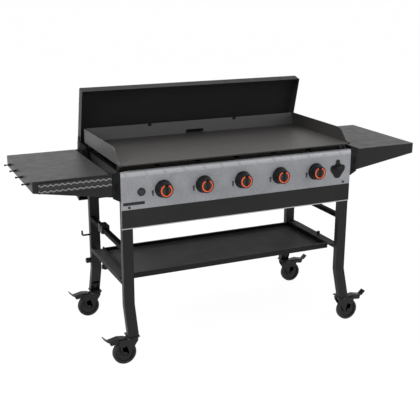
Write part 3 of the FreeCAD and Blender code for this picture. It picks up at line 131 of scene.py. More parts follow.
def ramp(tree, factor, stops):
    """Colour ramp over a factor; stops are (place, colour)."""
    node = tree.nodes.new("ShaderNodeValToRGB")
    elements = node.color_ramp.elements
    elements[0].position, elements[0].color = stops[0][0], tuple(stops[0][1]) + (1,)
    elements[1].position, elements[1].color = stops[-1][0], tuple(stops[-1][1]) + (1,)
    for place, colour in stops[1:-1]:
        element = elements.new(place)
        element.color = tuple(colour) + (1,)
    tree.links.new(factor, node.inputs["Fac"])
    return node.outputs["Color"]


def mix_colour(tree, factor, a, b, mode="MIX"):
    """Blend of two colours by a factor socket; each colour may be a socket or a plain one."""
    node = tree.nodes.new("ShaderNodeMix")
    node.data_type = "RGBA"
    node.blend_type = mode
    for index, value in ((0, factor), (6, a), (7, b)):
        socket = node.inputs[index]
        if isinstance(value, bpy.types.NodeSocket):
            tree.links.new(value, socket)
        else:
            socket.default_value = tuple(value) + (1,)
    return node.outputs[2]


def map_range(tree, factor, low, high, to_low, to_high, smooth=False):
    """Clamped map of a factor, linear or smooth."""
    node = tree.nodes.new("ShaderNodeMapRange")
    node.clamp = True
    if smooth:
        node.interpolation_type = "SMOOTHSTEP"
    node.inputs["From Min"].default_value = low
    node.inputs["From Max"].default_value = high
    node.inputs["To Min"].default_value = to_low
    node.inputs["To Max"].default_value = to_high
    tree.links.new(factor, node.inputs["Value"])
    return node.outputs["Result"]


def math_node(tree, operation, a, b=None):
    """One arithmetic step; each input may be a socket or a number."""
    node = tree.nodes.new("ShaderNodeMath")
    node.operation = operation
    for index, value in ((0, a), (1, b)):
        if value is None:
            continue
        if isinstance(value, bpy.types.NodeSocket):
            tree.links.new(value, node.inputs[index])
        else:
            node.inputs[index].default_value = value
    return node.outputs[0]


def mixed(tree, *parts):
    """Weighted sum of factors given as (weight, factor)."""
    total = None
    for weight, factor in parts:
        term = math_node(tree, "MULTIPLY", factor, weight)
        total = term if total is None else math_node(tree, "ADD", total, term)
    return total


def set_roughness(tree, shader, factor, low, high, at_low, at_high):
    """Roughness that follows a factor between two values."""
    tree.links.new(map_range(tree, factor, low, high, at_low, at_high), shader.inputs["Roughness"])


def wander(tree, scale, reach):
    """A slow wander about zero, in metres."""
    swing = math_node(tree, "SUBTRACT", noise(tree, coords(tree), scale, 2, 0.5), 0.5)
    return math_node(tree, "MULTIPLY", swing, reach)


def bump(tree, shader, height, strength, distance):
    """Bump on the shader's normal."""
    node = tree.nodes.new("ShaderNodeBump")
    node.inputs["Strength"].default_value = strength
    node.inputs["Distance"].default_value = distance
    tree.links.new(height, node.inputs["Height"])
    tree.links.new(node.outputs["Normal"], shader.inputs["Normal"])


def axis_value(tree, axis):
    """One object coordinate in metres."""
    tex = tree.nodes.new("ShaderNodeTexCoord")
    split = tree.nodes.new("ShaderNodeSeparateXYZ")
    tree.links.new(tex.outputs["Object"], split.inputs["Vector"])
    return split.outputs[axis]


def between(tree, axis, low, high, soft):
    """1 where an object coordinate in metres lies between two places, with soft ends."""
    value = axis_value(tree, axis)
    rise = map_range(tree, value, low - soft, low + soft, 0.0, 1.0, True)
    fall = map_range(tree, value, high - soft, high + soft, 1.0, 0.0, True)
    return math_node(tree, "MULTIPLY", rise, fall)


def srgb(value):
    """Linear value of an 8-bit sRGB level."""
    v = min(255.0, max(0.0, value)) / 255.0
    return v / 12.92 if v <= 0.04045 else ((v + 0.055) / 1.055) ** 2.4


def grey(level, tint=(0, 0, 0)):
    """Linear colour of an 8-bit grey with a small tint."""
    return tuple(srgb(level + t) for t in tint)


# Zones of painted light and shade, in metres: how far one reaches past its piece, the depth of a sheet's
# face, a crisp end
PAST = 0.1
SKIN = 0.0022
CRISP = 0.0004


def zoned(tree, base, level, zones):
    """The base colour with stretches painted lighter or darker for light and shade on single faces.
    Each zone is (axis, low, high, level, width of its ends), with places and widths in metres."""
    for axis, low, high, tone, soft in zones:
        share = srgb(tone) / srgb(level)
        mode = "MULTIPLY" if share <= 1 else "MIX"
        colour = (share, share, share) if share <= 1 else grey(tone)
        base = mix_colour(tree, between(tree, axis, low, high, soft), base, colour, mode)
    return base


def powder_coat(name, level, tint, roughness, spread, grain, dust=0.0, gloss=0.18, zones=()):
    """Baked powder paint: orange-peel grain, faint clouds of tone, rubbed streaks and handling dust.
    Each zone, as in zoned, is a stretch painted lighter or darker for light and shade, such as a shaded wall."""
    mat, tree, shader = new_material(name)
    vector = coords(tree)
    cloud = noise(tree, vector, 4.0, 4, 0.6)
    base = ramp(tree, cloud, [(0.3, grey(level - spread, tint)), (0.7, grey(level + spread, tint))])
    fine = noise(tree, vector, 900.0, 2, 0.6)
    speck = map_range(tree, fine, 0.6, 0.78, 0.0, 0.3)
    base = mix_colour(tree, speck, base, grey(level + 20, tint))
    if dust:
        smudge = noise(tree, coords(tree, (1.0, 1.0, 2.2)), 9.0, 6, 0.7)
        marked = map_range(tree, smudge, 0.52, 0.85, 0.0, dust)
        base = mix_colour(tree, marked, base, grey(level + 55, (3, 1, -1)))
    base = zoned(tree, base, level, zones)
    tree.links.new(base, shader.inputs["Base Color"])
    streak = noise(tree, vector, 22.0, 4, 0.6)
    set_roughness(tree, shader, streak, 0.3, 0.7, roughness - 0.05, roughness + 0.06)
    peel = noise(tree, vector, 480.0, 2, 0.5)
    bump(tree, shader, peel, 0.22 * grain, 0.0006)
    shader.inputs["Specular IOR Level"].default_value = gloss
    return mat


def edge_highlight_and_wear(name, level, tint=(0, 0, 0), gloss=0.3):
    """Paler paint along a folded edge: a painted highlight, and partly paint thinned and rubbed by handling.
    """
    mat, tree, shader = new_material(name)
    vector = coords(tree)
    sheen_and_wear = noise(tree, vector, 42.0, 5, 0.7)
    base = ramp(tree, sheen_and_wear, [(0.36, grey(level - 8, tint)), (0.52, grey(level + 6, tint)),
                            (0.72, grey(level + 34, tint))])
    tree.links.new(base, shader.inputs["Base Color"])
    set_roughness(tree, shader, sheen_and_wear, 0.35, 0.7, 0.46, 0.34)
    bump(tree, shader, noise(tree, vector, 600.0, 2, 0.5), 0.1, 0.0004)
    shader.inputs["Specular IOR Level"].default_value = gloss
    return mat


def metal(name, level, tint, roughness, spread, stretch, grain_scale, bump_strength,
          blotch=6.0, metallic=1.0):
    """Bare or plated metal with streaks along one axis and blotches of tone and gloss."""
    mat, tree, shader = new_material(name)
    streak = noise(tree, coords(tree, stretch), grain_scale, 4, 0.65)
    cloud = noise(tree, coords(tree), blotch, 4, 0.6)
    tone = mixed(tree, (0.55, streak), (0.45, cloud))
    base = ramp(tree, tone, [(0.32, grey(level - spread, tint)), (0.68, grey(level + spread, tint))])
    tree.links.new(base, shader.inputs["Base Color"])
    shader.inputs["Metallic"].default_value = metallic
    set_roughness(tree, shader, tone, 0.3, 0.7, roughness + 0.06, roughness - 0.06)
    bump(tree, shader, streak, bump_strength, 0.0004)
    return mat


def plastic(name, level, tint, roughness, grain=0.25, scale=700.0, gloss=0.3):
    """Moulded plastic with a fine spark-eroded grain."""
    mat, tree, shader = new_material(name)
    vector = coords(tree)
    cloud = noise(tree, vector, 22.0, 3, 0.5)
    base = ramp(tree, cloud, [(0.3, grey(level - 3, tint)), (0.7, grey(level + 4, tint))])
    tree.links.new(base, shader.inputs["Base Color"])
    set_roughness(tree, shader, noise(tree, vector, 60.0), 0.3, 0.7, roughness - 0.04, roughness + 0.06)
    bump(tree, shader, noise(tree, vector, scale, 2, 0.5), grain, 0.0004)
    shader.inputs["Specular IOR Level"].default_value = gloss
    return mat


def orange_plastic(name):
    """Bright orange-red insert with a faint moulding variation."""
    mat, tree, shader = new_material(name)
    vector = coords(tree)
    cloud = noise(tree, vector, 60.0, 3, 0.5)
    deep, light = (226, 84, 48), (240, 100, 62)
    base = ramp(tree, cloud, [(0.3, tuple(srgb(v) for v in deep)), (0.7, tuple(srgb(v) for v in light))])
    tree.links.new(base, shader.inputs["Base Color"])
    set_roughness(tree, shader, noise(tree, vector, 90.0), 0.3, 0.7, 0.36, 0.46)
    bump(tree, shader, noise(tree, vector, 800.0, 2, 0.5), 0.12, 0.0003)
    shader.inputs["Specular IOR Level"].default_value = 0.3
    return mat


def silver_panel(name, level):
    """Silver control panel: a cloudy hatched finish, with painted highlights as soft pale patches that repeat
    along the top bend.
    """
    cool = (0, 1, 5)
    highlight_pitch = 0.0825
    hem_drop, hem_soft = 0.231, 0.0005
    mat, tree, shader = new_material(name)
    vector = coords(tree)
    cloud = noise(tree, vector, 8.0, 5, 0.62)
    drawn = noise(tree, coords(tree, (0.5, 1, 12)), 70.0, 4, 0.6)
    risers = noise(tree, coords(tree, (12, 1, 0.5)), 55.0, 4, 0.6)
    mottle = noise(tree, vector, 150.0, 3, 0.6)
    tone = mixed(tree, (0.38, cloud), (0.2, drawn), (0.18, risers), (0.24, mottle))
    base = ramp(tree, tone, [(0.37, grey(level - 14, cool)), (0.5, grey(level, cool)),
                             (0.63, grey(level + 14, cool))])
    height = axis_value(tree, "Z")
    along = axis_value(tree, "X")
    # Painted highlights on the top bend: pale patches at a steady pitch along it
    lean = math_node(tree, "MULTIPLY", height, 0.5)
    slanted = math_node(tree, "ADD", math_node(tree, "ADD", along, wander(tree, 5.0, 0.05)), lean)
    positive = math_node(tree, "ADD", slanted, 10.0)
    phase = math_node(tree, "FRACT", math_node(tree, "DIVIDE", positive, highlight_pitch))
    rise = map_range(tree, phase, 0.02, 0.12, 0.0, 1.0, True)
    fall = map_range(tree, phase, 0.9, 0.99, 1.0, 0.0, True)
    beat = math_node(tree, "MULTIPLY", rise, fall)
    bend_start = map_range(tree, height, top_z - 0.026, top_z - 0.014, 0.0, 1.0, True)
    bend_end = map_range(tree, height, top_z - 0.007, top_z - 0.001, 1.0, 0.25, True)
    near_top = math_node(tree, "MULTIPLY", bend_start, bend_end)
    pale = map_range(tree, beat, 0.0, 1.0, 0.22, 0.55)
    bend_highlights = math_node(tree, "MULTIPLY", near_top, pale)
    base = mix_colour(tree, bend_highlights, base, grey(184, cool))
    hem = map_range(tree, height, top_z - hem_drop + hem_soft, top_z - hem_drop - hem_soft, 0.0, 0.8)
    base = mix_colour(tree, hem, base, grey(190, (0, 0, 2)))
    tree.links.new(base, shader.inputs["Base Color"])
    shader.inputs["Metallic"].default_value = 0.25
    set_roughness(tree, shader, tone, 0.35, 0.65, 0.52, 0.4)
    bump(tree, shader, mottle, 0.08, 0.0005)
    shader.inputs["Specular IOR Level"].default_value = 0.3
    return mat


def griddle_steel(name, level):
    """Rolled cooking steel: dark grey, with drawn streaks along it and faint heat stains, darker towards the
    rear; painted light on the rear wall and the left end, painted shade on the front face and the right wall.
    """
    low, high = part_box("griddle_plate")
    warm = (2, 0, -1)
    wall = 0.0046
    rear_wall_y = 508.2
    mat, tree, shader = new_material(name)
    vector = coords(tree)
    stain = noise(tree, vector, 3.0, 5, 0.6)
    drawn = noise(tree, coords(tree, (1.0, 9.0, 9.0)), 14.0, 5, 0.65)
    fine = noise(tree, coords(tree, (0.5, 6.0, 6.0)), 160.0, 3, 0.6)
    tone = mixed(tree, (0.5, stain), (0.28, drawn), (0.22, fine))
    base = ramp(tree, tone, [(0.34, grey(level - 9, warm)), (0.5, grey(level, warm)),
                             (0.66, grey(level + 10, (3, 0, -1)))])
    depth = axis_value(tree, "Y")
    # Darker towards the rear, in patches
    toward_rear = map_range(tree, depth, low.y + 0.1, high.y - 0.06, 0.0, 1.0, True)
    patchy = map_range(tree, mixed(tree, (0.8, toward_rear), (0.4, stain)), 0.1, 1.0, 0.0, 0.75)
    base = mix_colour(tree, patchy, base, grey(level - 26, (1, 0, -1)))
    # Painted light on the rear wall and the left end; painted shade on the front face and the right wall
    rear = at(0, rear_wall_y, 0).y - wall
    base = zoned(tree, base, level, [("Y", rear, high.y + PAST, level + 22, 0.001),
                                     ("Y", low.y - PAST, low.y + 0.0012, level - 22, 0.0005),
                                     ("X", high.x - wall, high.x + PAST, level - 9, 0.001),
                                     ("X", low.x - PAST, low.x + 0.0006, level + 10, 0.0005)])
    tree.links.new(base, shader.inputs["Base Color"])
    shader.inputs["Metallic"].default_value = 0.3
    set_roughness(tree, shader, tone, 0.35, 0.65, 0.56, 0.44)
    bump(tree, shader, fine, 0.1, 0.0004)
    shader.inputs["Specular IOR Level"].default_value = 0.25
    return mat


def rubber(name):
    """Dark tyre rubber with a dusty bloom on the tread."""
    mat, tree, shader = new_material(name)
    vector = coords(tree)
    cloud = noise(tree, vector, 30.0, 4, 0.6)
    base = ramp(tree, cloud, [(0.3, grey(20)), (0.7, grey(32, (1, 0, -1)))])
    tree.links.new(base, shader.inputs["Base Color"])
    set_roughness(tree, shader, cloud, 0.3, 0.7, 0.5, 0.7)
    bump(tree, shader, noise(tree, vector, 420.0, 3, 0.6), 0.25, 0.0005)
    shader.inputs["Specular IOR Level"].default_value = 0.3
    return mat


def magnet_bars(name, level):
    """Tool strip: grey frame, and two bars with a wavy rolled rib, whose pale wave is a painted highlight."""
    rib_period = 0.023
    rib_swing = 0.0026
    bar_drops = (20.0, 43.0)
    bar_edge = (0.0046, 0.0058)
    rib_edge = (0.0012, 0.0032)
    mat, tree, shader = new_material(name)
    height = axis_value(tree, "Z")
    along = axis_value(tree, "X")
    fine = noise(tree, coords(tree), 260.0, 3, 0.6)
    place = math_node(tree, "ADD", along, wander(tree, 26.0, 0.012))
    turn = math_node(tree, "MULTIPLY", place, 2 * math.pi / rib_period)
    swing = math_node(tree, "MULTIPLY", math_node(tree, "SINE", turn), rib_swing)
    on_bar = wave = None
    for drop in bar_drops:
        middle = top_z - drop * MM
        distance = math_node(tree, "ABSOLUTE", math_node(tree, "SUBTRACT", height, middle))
        near = map_range(tree, distance, *bar_edge, 1.0, 0.0)
        on_bar = near if on_bar is None else math_node(tree, "MAXIMUM", on_bar, near)
        offset = math_node(tree, "SUBTRACT", math_node(tree, "SUBTRACT", height, middle), swing)
        crest = map_range(tree, math_node(tree, "ABSOLUTE", offset), *rib_edge, 1.0, 0.0, True)
        wave = crest if wave is None else math_node(tree, "MAXIMUM", wave, crest)
    # The wavy ribs' pale colour is a painted highlight
    rib_highlight = math_node(tree, "MULTIPLY", wave, map_range(tree, fine, 0.3, 0.6, 0.7, 1.0))
    bars = mix_colour(tree, rib_highlight, grey(level + 2), grey(level + 92, (0, 1, 2)))
    frame_tone = ramp(tree, fine, [(0.35, grey(level - 4)), (0.65, grey(level + 8))])
    base = mix_colour(tree, on_bar, frame_tone, bars)
    tree.links.new(base, shader.inputs["Base Color"])
    set_roughness(tree, shader, rib_highlight, 0.0, 1.0, 0.5, 0.36)
    bump(tree, shader, math_node(tree, "MULTIPLY", wave, on_bar), 0.5, 0.0008)
    shader.inputs["Specular IOR Level"].default_value = 0.25
    return mat


tray_low, tray_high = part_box("bottom_tray")
side_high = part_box("left_side_panel")[1]
shelf_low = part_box("left_shelf")[0]
lid_low, lid_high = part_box("lid_pan")
tray_left_wall = (at(45.4, 0, 0).x, at(47.8, 0, 0).x)
tray_right_wall = (at(1012.2, 0, 0).x, at(1014.6, 0, 0).x)
arm_lit_end = (at(0, 543.0, 0).y, at(0, 700.0, 0).y)
coat_body = powder_coat("coat_body", 20, (0, 0, 1), 0.46, 3, 1.0, 0.02)
# Painted shade on the side panels' top flange
coat_side = powder_coat("coat_side", 28, (0, 0, 1), 0.56, 3, 1.0, 0.02, 0.06, zones=[
    ("Z", side_high.z - SKIN, side_high.z + PAST, 8, CRISP)])
# The lid arms' paint darkened for painted shade, with painted light on their rear stretch
coat_arm = powder_coat("coat_arm", 6, (0, 0, 1), 0.6, 2, 0.8, 0.0, 0.03, zones=[
    ("Y", *arm_lit_end, 52, 0.004)])
coat_band = powder_coat("coat_band", 36, (0, 1, 0), 0.5, 3, 0.8, 0.03, 0.12)
# Painted light on the lid's left end; the lid is darker along its top 12 mm
coat_lid = powder_coat("coat_lid", 36, (0, 0, 0), 0.46, 3, 1.0, 0.03, 0.1, zones=[
    ("Z", lid_high.z - 0.012, lid_high.z + PAST, 22, 0.001),
    ("X", lid_low.x - PAST, lid_low.x + 0.002, 45, CRISP)])
# Painted shade on the left shelf's front face
coat_shelf = powder_coat("coat_shelf", 38, (0, 0, 0), 0.42, 2, 1.1, 0.0, 0.2, zones=[
    ("Y", shelf_low.y - PAST, shelf_low.y + SKIN, 30, CRISP)])
# The right shelf's paint is a darker copy of the left shelf's: painted shade
coat_shelf_right_shaded = powder_coat("coat_shelf_right_shaded", 28, (0, 0, 0), 0.42, 2, 1.1, 0.0, 0.18)
coat_bracket = powder_coat("coat_bracket", 20, (0, 1, 0), 0.46, 2, 1.0, 0.02, 0.1)
# The tray's paint at its lit level on the floor, with painted shade on the rear wall, the front face, the
# walls and the rims
coat_tray = powder_coat("coat_tray", 76, (0, 0, 0), 0.55, 4, 1.1, 0.05, 0.08, zones=[
    ("Y", tray_high.y - SKIN, tray_high.y + PAST, 10, CRISP),
    ("Y", tray_low.y - PAST, tray_low.y + SKIN, 34, CRISP),
    ("X", tray_low.x - PAST, tray_left_wall[0], 58, CRISP),
    ("X", *tray_left_wall, 34, CRISP),
    ("X", *tray_right_wall, 18, CRISP),
    ("X", tray_right_wall[1], tray_high.x + PAST, 52, CRISP)])
coat_leg = powder_coat("coat_leg", 31, (0, 0, 0), 0.42, 3, 1.0, 0.02, 0.15)
# The upper bars' paint, darkened: painted shade under the shelves and the griddle
coat_bar_shaded = powder_coat("coat_bar_shaded", 10, (0, 0, 0), 0.55, 3, 1.0, 0.01, 0.03)
coat_low_bar = powder_coat("coat_low_bar", 28, (0, 0, 0), 0.5, 3, 1.0, 0.03, 0.08)
coat_dark = powder_coat("coat_dark", 18, (0, 0, 1), 0.42, 3, 0.8)
fork_black = powder_coat("fork_black", 20, (0, 0, 1), 0.38, 3, 0.8, 0.03, 0.25)
baffle_steel = powder_coat("baffle_steel", 46, (2, 1, -2), 0.5, 5, 0.8, 0.05, 0.15)
# Paler finishes for eased edges: painted highlights, partly wear
edge_dark = edge_highlight_and_wear("edge_dark", 46)
edge_lid = edge_highlight_and_wear("edge_lid", 50)
edge_silver = edge_highlight_and_wear("edge_silver", 164, (0, 1, 4), 0.4)
panel_silver = silver_panel("panel_silver", 142)
plate_steel = griddle_steel("plate_steel", 66)
edge_plate = edge_highlight_and_wear("edge_plate", 60, (3, 1, -3), 0.4)
stainless = metal("stainless", 150, (2, 1, -2), 0.34, 14, (1, 1, 12), 90.0, 0.08)
zinc = metal("zinc", 150, (0, 1, 3), 0.4, 16, (1, 1, 1), 120.0, 0.08)
bolt_black = metal("bolt_black", 46, (0, 0, 2), 0.42, 8, (1, 1, 1), 220.0, 0.08, 60.0, 0.6)
cast_valve = metal("cast_valve", 150, (0, 0, 1), 0.5, 12, (1, 1, 1), 260.0, 0.3)
brass = metal("brass_turned", 150, (40, 5, -60), 0.3, 10, (1, 8, 1), 200.0, 0.06)
knob_black = plastic("knob_black", 12, (0, 1, 2), 0.4, gloss=0.2)
grip_black = plastic("grip_black", 40, (2, 6, -2), 0.5, 0.35, 420.0, 0.2)
bezel_black = plastic("bezel_black", 12, (0, 1, 2), 0.36, gloss=0.2)
button_black = plastic("button_black", 44, (0, 2, 5), 0.34, 0.1)
housing_black = plastic("housing_black", 26, (0, 1, 3), 0.42)
# Black print; also the screws' cross recesses, whose dark is painted shade
print_and_shade_black = plastic("print_and_shade_black", 14, (0, 0, 2), 0.6, 0.05)
ring_orange = orange_plastic("ring_orange")
tyre = rubber("tyre")
strip_magnets = magnet_bars("strip_magnets", 44)

# Each node's finish, how far its edges are eased in millimetres, and what shows on those edges (a paler edge
# finish is a painted highlight, partly wear)
dressing = {
    "control_panel": (panel_silver, 0.5, edge_silver),
    "trim_band": (coat_band, 0.4, None),
    "left_side_panel": (coat_side, 0.5, None),
    "right_side_panel": (coat_side, 0.5, None),
    "rear_panel": (coat_body, 0.5, edge_dark),
    "front_baffle": (baffle_steel, 0.3, None),
    "firebox_pan": (zinc, 0.3, None),
    "burners": (stainless, 0.0, None),
    "gas_manifold": (coat_dark, 0.4, None),
    "gas_valves": (cast_valve, 0.4, None),
    "knob_bezels": (bezel_black, 0.3, None),
    "igniter_housing": (housing_black, 0.4, None),
    "igniter_button": (button_black, 0.5, None),
    "bottle_opener": (coat_dark, 1.0, edge_dark),
    "griddle_plate": (plate_steel, 0.9, edge_plate),
    "griddle_pegs": (bolt_black, 0.3, None),
    "lid_pan": (coat_lid, 0.45, edge_lid),
    "lid_arms": (coat_arm, 0.7, None),
    "lid_pivots": (bolt_black, 0.3, None),
    "left_shelf": (coat_shelf, 0.5, edge_dark),
    "right_shelf": (coat_shelf_right_shaded, 0.5, edge_dark),
    "left_latch": (coat_dark, 0.6, None),
    "right_latch": (coat_dark, 0.6, None),
    "shelf_brackets": (coat_bracket, 0.4, None),
    "utensil_hooks": (coat_dark, 0.3, None),
    "tool_strip": (strip_magnets, 0.6, None),
    "legs": (coat_leg, 2.4, coat_leg),
    "leg_bolts": (bolt_black, 0.5, None),
    "upper_bars": (coat_bar_shaded, 1.8, coat_bar_shaded),
    "lower_bars": (coat_low_bar, 1.8, coat_low_bar),
    "bottom_tray": (coat_tray, 0.5, edge_dark),
    "tray_thumbscrews": (knob_black, 0.8, None),
    "tank_bracket": (coat_dark, 0.9, edge_dark),
    "bag_hook": (coat_dark, 0.5, None),
    "cup_hanger": (coat_body, 0.4, None),
    "grease_cup": (stainless, 0.3, None),
    "caster_mounts": (fork_black, 0.6, None),
}
for i in range(1, 6):
    dressing["knob_%d" % i] = (knob_black, 0.5, None)
    dressing["valve_plug_%d" % i] = (brass, 0.2, None)
for i in range(1, 5):
    dressing["caster_fork_%d" % i] = (fork_black, 0.6, edge_dark)
    dressing["caster_wheel_%d" % i] = (tyre, 0.4, None)
    dressing["brake_pedal_%d" % i] = (fork_black, 0.8, edge_dark)


# Vertices closer than WELD metres are joined, and faces within FLAT degrees; corners over CORNER are eased
WELD = 2e-6
FLAT = 0.6
CORNER = 35


def dress(node, finish, width, edge):
    """The node's own shape with eased edges, riding on its body in the node's place."""
    source = nodes[node]
    mesh = source.data.copy()
    mesh.name = "dressed_" + node
    work = bmesh.new()
    work.from_mesh(mesh)
    bmesh.ops.remove_doubles(work, verts=work.verts, dist=WELD)
    # The forks keep the flat faces of the CAD mesh as they are
    if not node.startswith("caster_fork"):
        bmesh.ops.dissolve_limit(work, angle_limit=math.radians(FLAT), verts=work.verts, edges=work.edges)
        bmesh.ops.triangulate(work, faces=[f for f in work.faces if len(f.verts) > 4])
    work.to_mesh(mesh)
    work.free()
    for name in [a.name for a in mesh.attributes if a.name == "custom_normal"]:
        mesh.attributes.remove(mesh.attributes[name])
    piece = bpy.data.objects.new("dressed_" + node, mesh)
    scene.collection.objects.link(piece)
    for polygon in mesh.polygons:
        polygon.use_smooth = True
    mesh.materials.clear()
    mesh.materials.append(finish)
    bevel = piece.modifiers.new("eased", "BEVEL")
    bevel.width = width * MM
    bevel.segments = 2
    bevel.limit_method = "ANGLE"
    bevel.angle_limit = math.radians(CORNER)
    bevel.use_clamp_overlap = True
    bevel.harden_normals = True
    # The eased edges take the edge finish, which paints a highlight there, partly wear
    if edge is not None:
        mesh.materials.append(edge)
        bevel.material = 1
    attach(piece, body_of[node])
    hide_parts(node)


for name, source in nodes.items():
    finish, width, edge = dressing[name]
    if width:
        dress(name, finish, width, edge)
    else:
        source.data.materials.clear()
        source.data.materials.append(finish)


# Small pieces that the solids leave to the scene
def new_piece(name, work, material, node):
    """Object from mesh data, riding with the body that the given node belongs to."""
    bmesh.ops.recalc_face_normals(work, faces=work.faces)
    mesh = bpy.data.meshes.new(name)
    work.to_mesh(mesh)
    work.free()
    mesh.materials.append(material)
    piece = bpy.data.objects.new(name, mesh)
    scene.collection.objects.link(piece)
    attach(piece, body_of[node])
    return piece


def smooth_by_angle(piece, degrees=40):
    """Round faces that meet at less than this angle."""
    for polygon in piece.data.polygons:
        polygon.use_smooth = True
    piece.data.set_sharp_from_angle(angle=math.radians(degrees))


def frame_of(axis):
    """Two directions square to an axis."""
    axis = Vector(axis).normalized()
    guide = Vector((0, 0, 1)) if abs(axis.z) < 0.9 else Vector((1, 0, 0))
    across = axis.cross(guide).normalized()
    return axis, across, axis.cross(across).normalized()


def lathe(work, profile, centre, axis, segments):
    """Surface turned from (radius, place along the axis) in millimetres; radius 0 closes an end."""
    axis, across, other = frame_of(axis)
    rings = []
    for radius, place in profile:
        base = centre + axis * place * MM
        if radius <= 0:
            rings.append([work.verts.new(base)])
            continue
        ring = []
        for i in range(segments):
            turn = 2 * math.pi * i / segments
            way = across * math.cos(turn) + other * math.sin(turn)
            ring.append(work.verts.new(base + way * radius * MM))
        rings.append(ring)
    for first, second in zip(rings, rings[1:]):
        for i in range(segments):
            j = (i + 1) % segments
            loop = [first[i % len(first)], first[j % len(first)]]
            loop += [second[j % len(second)], second[i % len(second)]]
            work.faces.new(list(dict.fromkeys(loop)))


def arc_band(work, section, centre, start, end, segments=64):
    """Ring with a gap, facing the front: a closed section (radius, depth) carried round between two angles
    in degrees, measured clockwise from the top."""
    rings = []
    for i in range(segments + 1):
        turn = math.radians(start + (end - start) * i / segments)
        way = Vector((math.sin(turn), 0, math.cos(turn)))
        rings.append([work.verts.new(centre + way * r * MM + Vector((0, d * MM, 0))) for r, d in section])
    for first, second in zip(rings, rings[1:]):
        for i in range(len(section)):
            j = (i + 1) % len(section)
            work.faces.new((first[i], first[j], second[j], second[i]))
    work.faces.new(rings[0])
    work.faces.new(list(reversed(rings[-1])))


def plate_shape(work, outline, y_front, y_rear):
    """Flat shape facing the front: outline (x, z) in drawing coordinates between two depths."""
    front = [work.verts.new(at(x, y_front, z)) for x, z in outline]
    rear = [work.verts.new(at(x, y_rear, z)) for x, z in outline]
    work.faces.new(front)
    work.faces.new(list(reversed(rear)))
    for i in range(len(outline)):
        j = (i + 1) % len(outline)
        work.faces.new((front[i], rear[i], rear[j], front[j]))


def rounded_outline(x0, x1, z0, z1, radius):
    """Rectangle with round corners."""
    steps = 5
    points = []
    for cx, cz, first in ((x1 - radius, z1 - radius, 0), (x0 + radius, z1 - radius, 90),
                          (x0 + radius, z0 + radius, 180), (x1 - radius, z0 + radius, 270)):
        for i in range(steps + 1):
            turn = math.radians(first + 90 * i / steps)
            points.append((cx + radius * math.cos(turn), cz + radius * math.sin(turn)))
    return points


# The knobs in drawing coordinates
KNOB_PITCH = 178.5
KNOB_XS = [panel_width / 2 + (i - 2) * KNOB_PITCH for i in range(5)]
KNOB_Z = -83.0
KNOB_FRONT = -37.0
# Each knob's ring as (radius, depth) and the arc that it covers in degrees, and its face as a turned profile
RING_SECTION = [(19.0, 3.2), (19.0, 0.4), (19.6, -0.7), (20.4, -1.2), (23.6, -1.2), (24.5, -0.6), (25.1, 0.8),
                (25.1, 3.2)]
RING_ARC = (24, 338)
FACE_PROFILE = [(0, 2.2), (18.2, 2.2), (18.2, -0.6), (17.2, -1.2), (0, -1.4)]
# Setting marks beside each knob: bars of growing width in a column, whose middle is placed from the knob's,
# each reaching MARK_RISE above and below its own middle
MARKS = 4
MARK_PLACE = (-45.5, -13.0)
MARK_PITCH = 5.8
MARK_RISE = 2.3
MARK_CORNER = 1.4
MARK_DEPTHS = (-0.25, 0.3)

for i, x in enumerate(KNOB_XS):
    node = "knob_%d" % (i + 1)
    centre = at(x, KNOB_FRONT, KNOB_Z)
    work = bmesh.new()
    arc_band(work, RING_SECTION, centre, *RING_ARC)
    smooth_by_angle(new_piece("knob_ring_%d" % (i + 1), work, ring_orange, node), 50)
    work = bmesh.new()
    lathe(work, FACE_PROFILE, centre, (0, 1, 0), 48)
    smooth_by_angle(new_piece("knob_face_%d" % (i + 1), work, grip_black, node))
    work = bmesh.new()
    for k in range(MARKS):
        cx, cz = x + MARK_PLACE[0], KNOB_Z + MARK_PLACE[1] + (k - 1.5) * MARK_PITCH
        half = 3.6 + 0.5 * k
        outline = rounded_outline(cx - half, cx + half, cz - MARK_RISE, cz + MARK_RISE, MARK_CORNER)
        plate_shape(work, outline, *MARK_DEPTHS)
    new_piece("setting_marks_%d" % (i + 1), work, print_and_shade_black, "control_panel")

work = bmesh.new()
plate_shape(work, rounded_outline(8.4, 99.0, -137.0, -124.8, 1.6), -0.9, 0.2)
new_piece("bare_plate", work, housing_black, "control_panel")


def pan_screw(name, centre, axis, node, radius=5.4, material=bolt_black):
    """Pan-head screw with a cross recess, the recess drawn as a dark cross of painted shade."""
    work = bmesh.new()
    height = radius * 0.5
    profile = [(radius * 0.97, 0.3), (radius, -height * 0.3), (radius * 0.86, -height * 0.78),
               (radius * 0.55, -height), (0, -height * 1.04)]
    lathe(work, profile, centre, axis, 28)
    smooth_by_angle(new_piece(name, work, material, node))
    # The cross recess is a dark cross set in the head: painted shade
    axis, across, other = frame_of(axis)
    work = bmesh.new()
    arm, thick = radius * 0.5, radius * 0.13
    top = centre - axis * (height * 1.08) * MM
    for a, b in ((across, other), (other, across)):
        corners = [a * arm + b * thick, a * -arm + b * thick, a * -arm - b * thick, a * arm - b * thick]
        low = [work.verts.new(top + c * MM + axis * height * 0.4 * MM) for c in corners]
        high = [work.verts.new(top + c * MM) for c in corners]
        work.faces.new(high)
        work.faces.new(list(reversed(low)))
        for k in range(4):
            work.faces.new((high[k], low[k], low[(k + 1) % 4], high[(k + 1) % 4]))
    new_piece(name + "_recess", work, print_and_shade_black, node)


pan_screw("panel_screw_left", at(33.6, 0, -146.2), (0, 1, 0), "control_panel")
pan_screw("panel_screw_right", at(panel_width - 35.0, 0, -144.8), (0, 1, 0), "control_panel")
pan_screw("opener_screw", at(panel_width - 57.6, -3.5, -85.5), (0, 1, 0), "control_panel", 4.2, zinc)

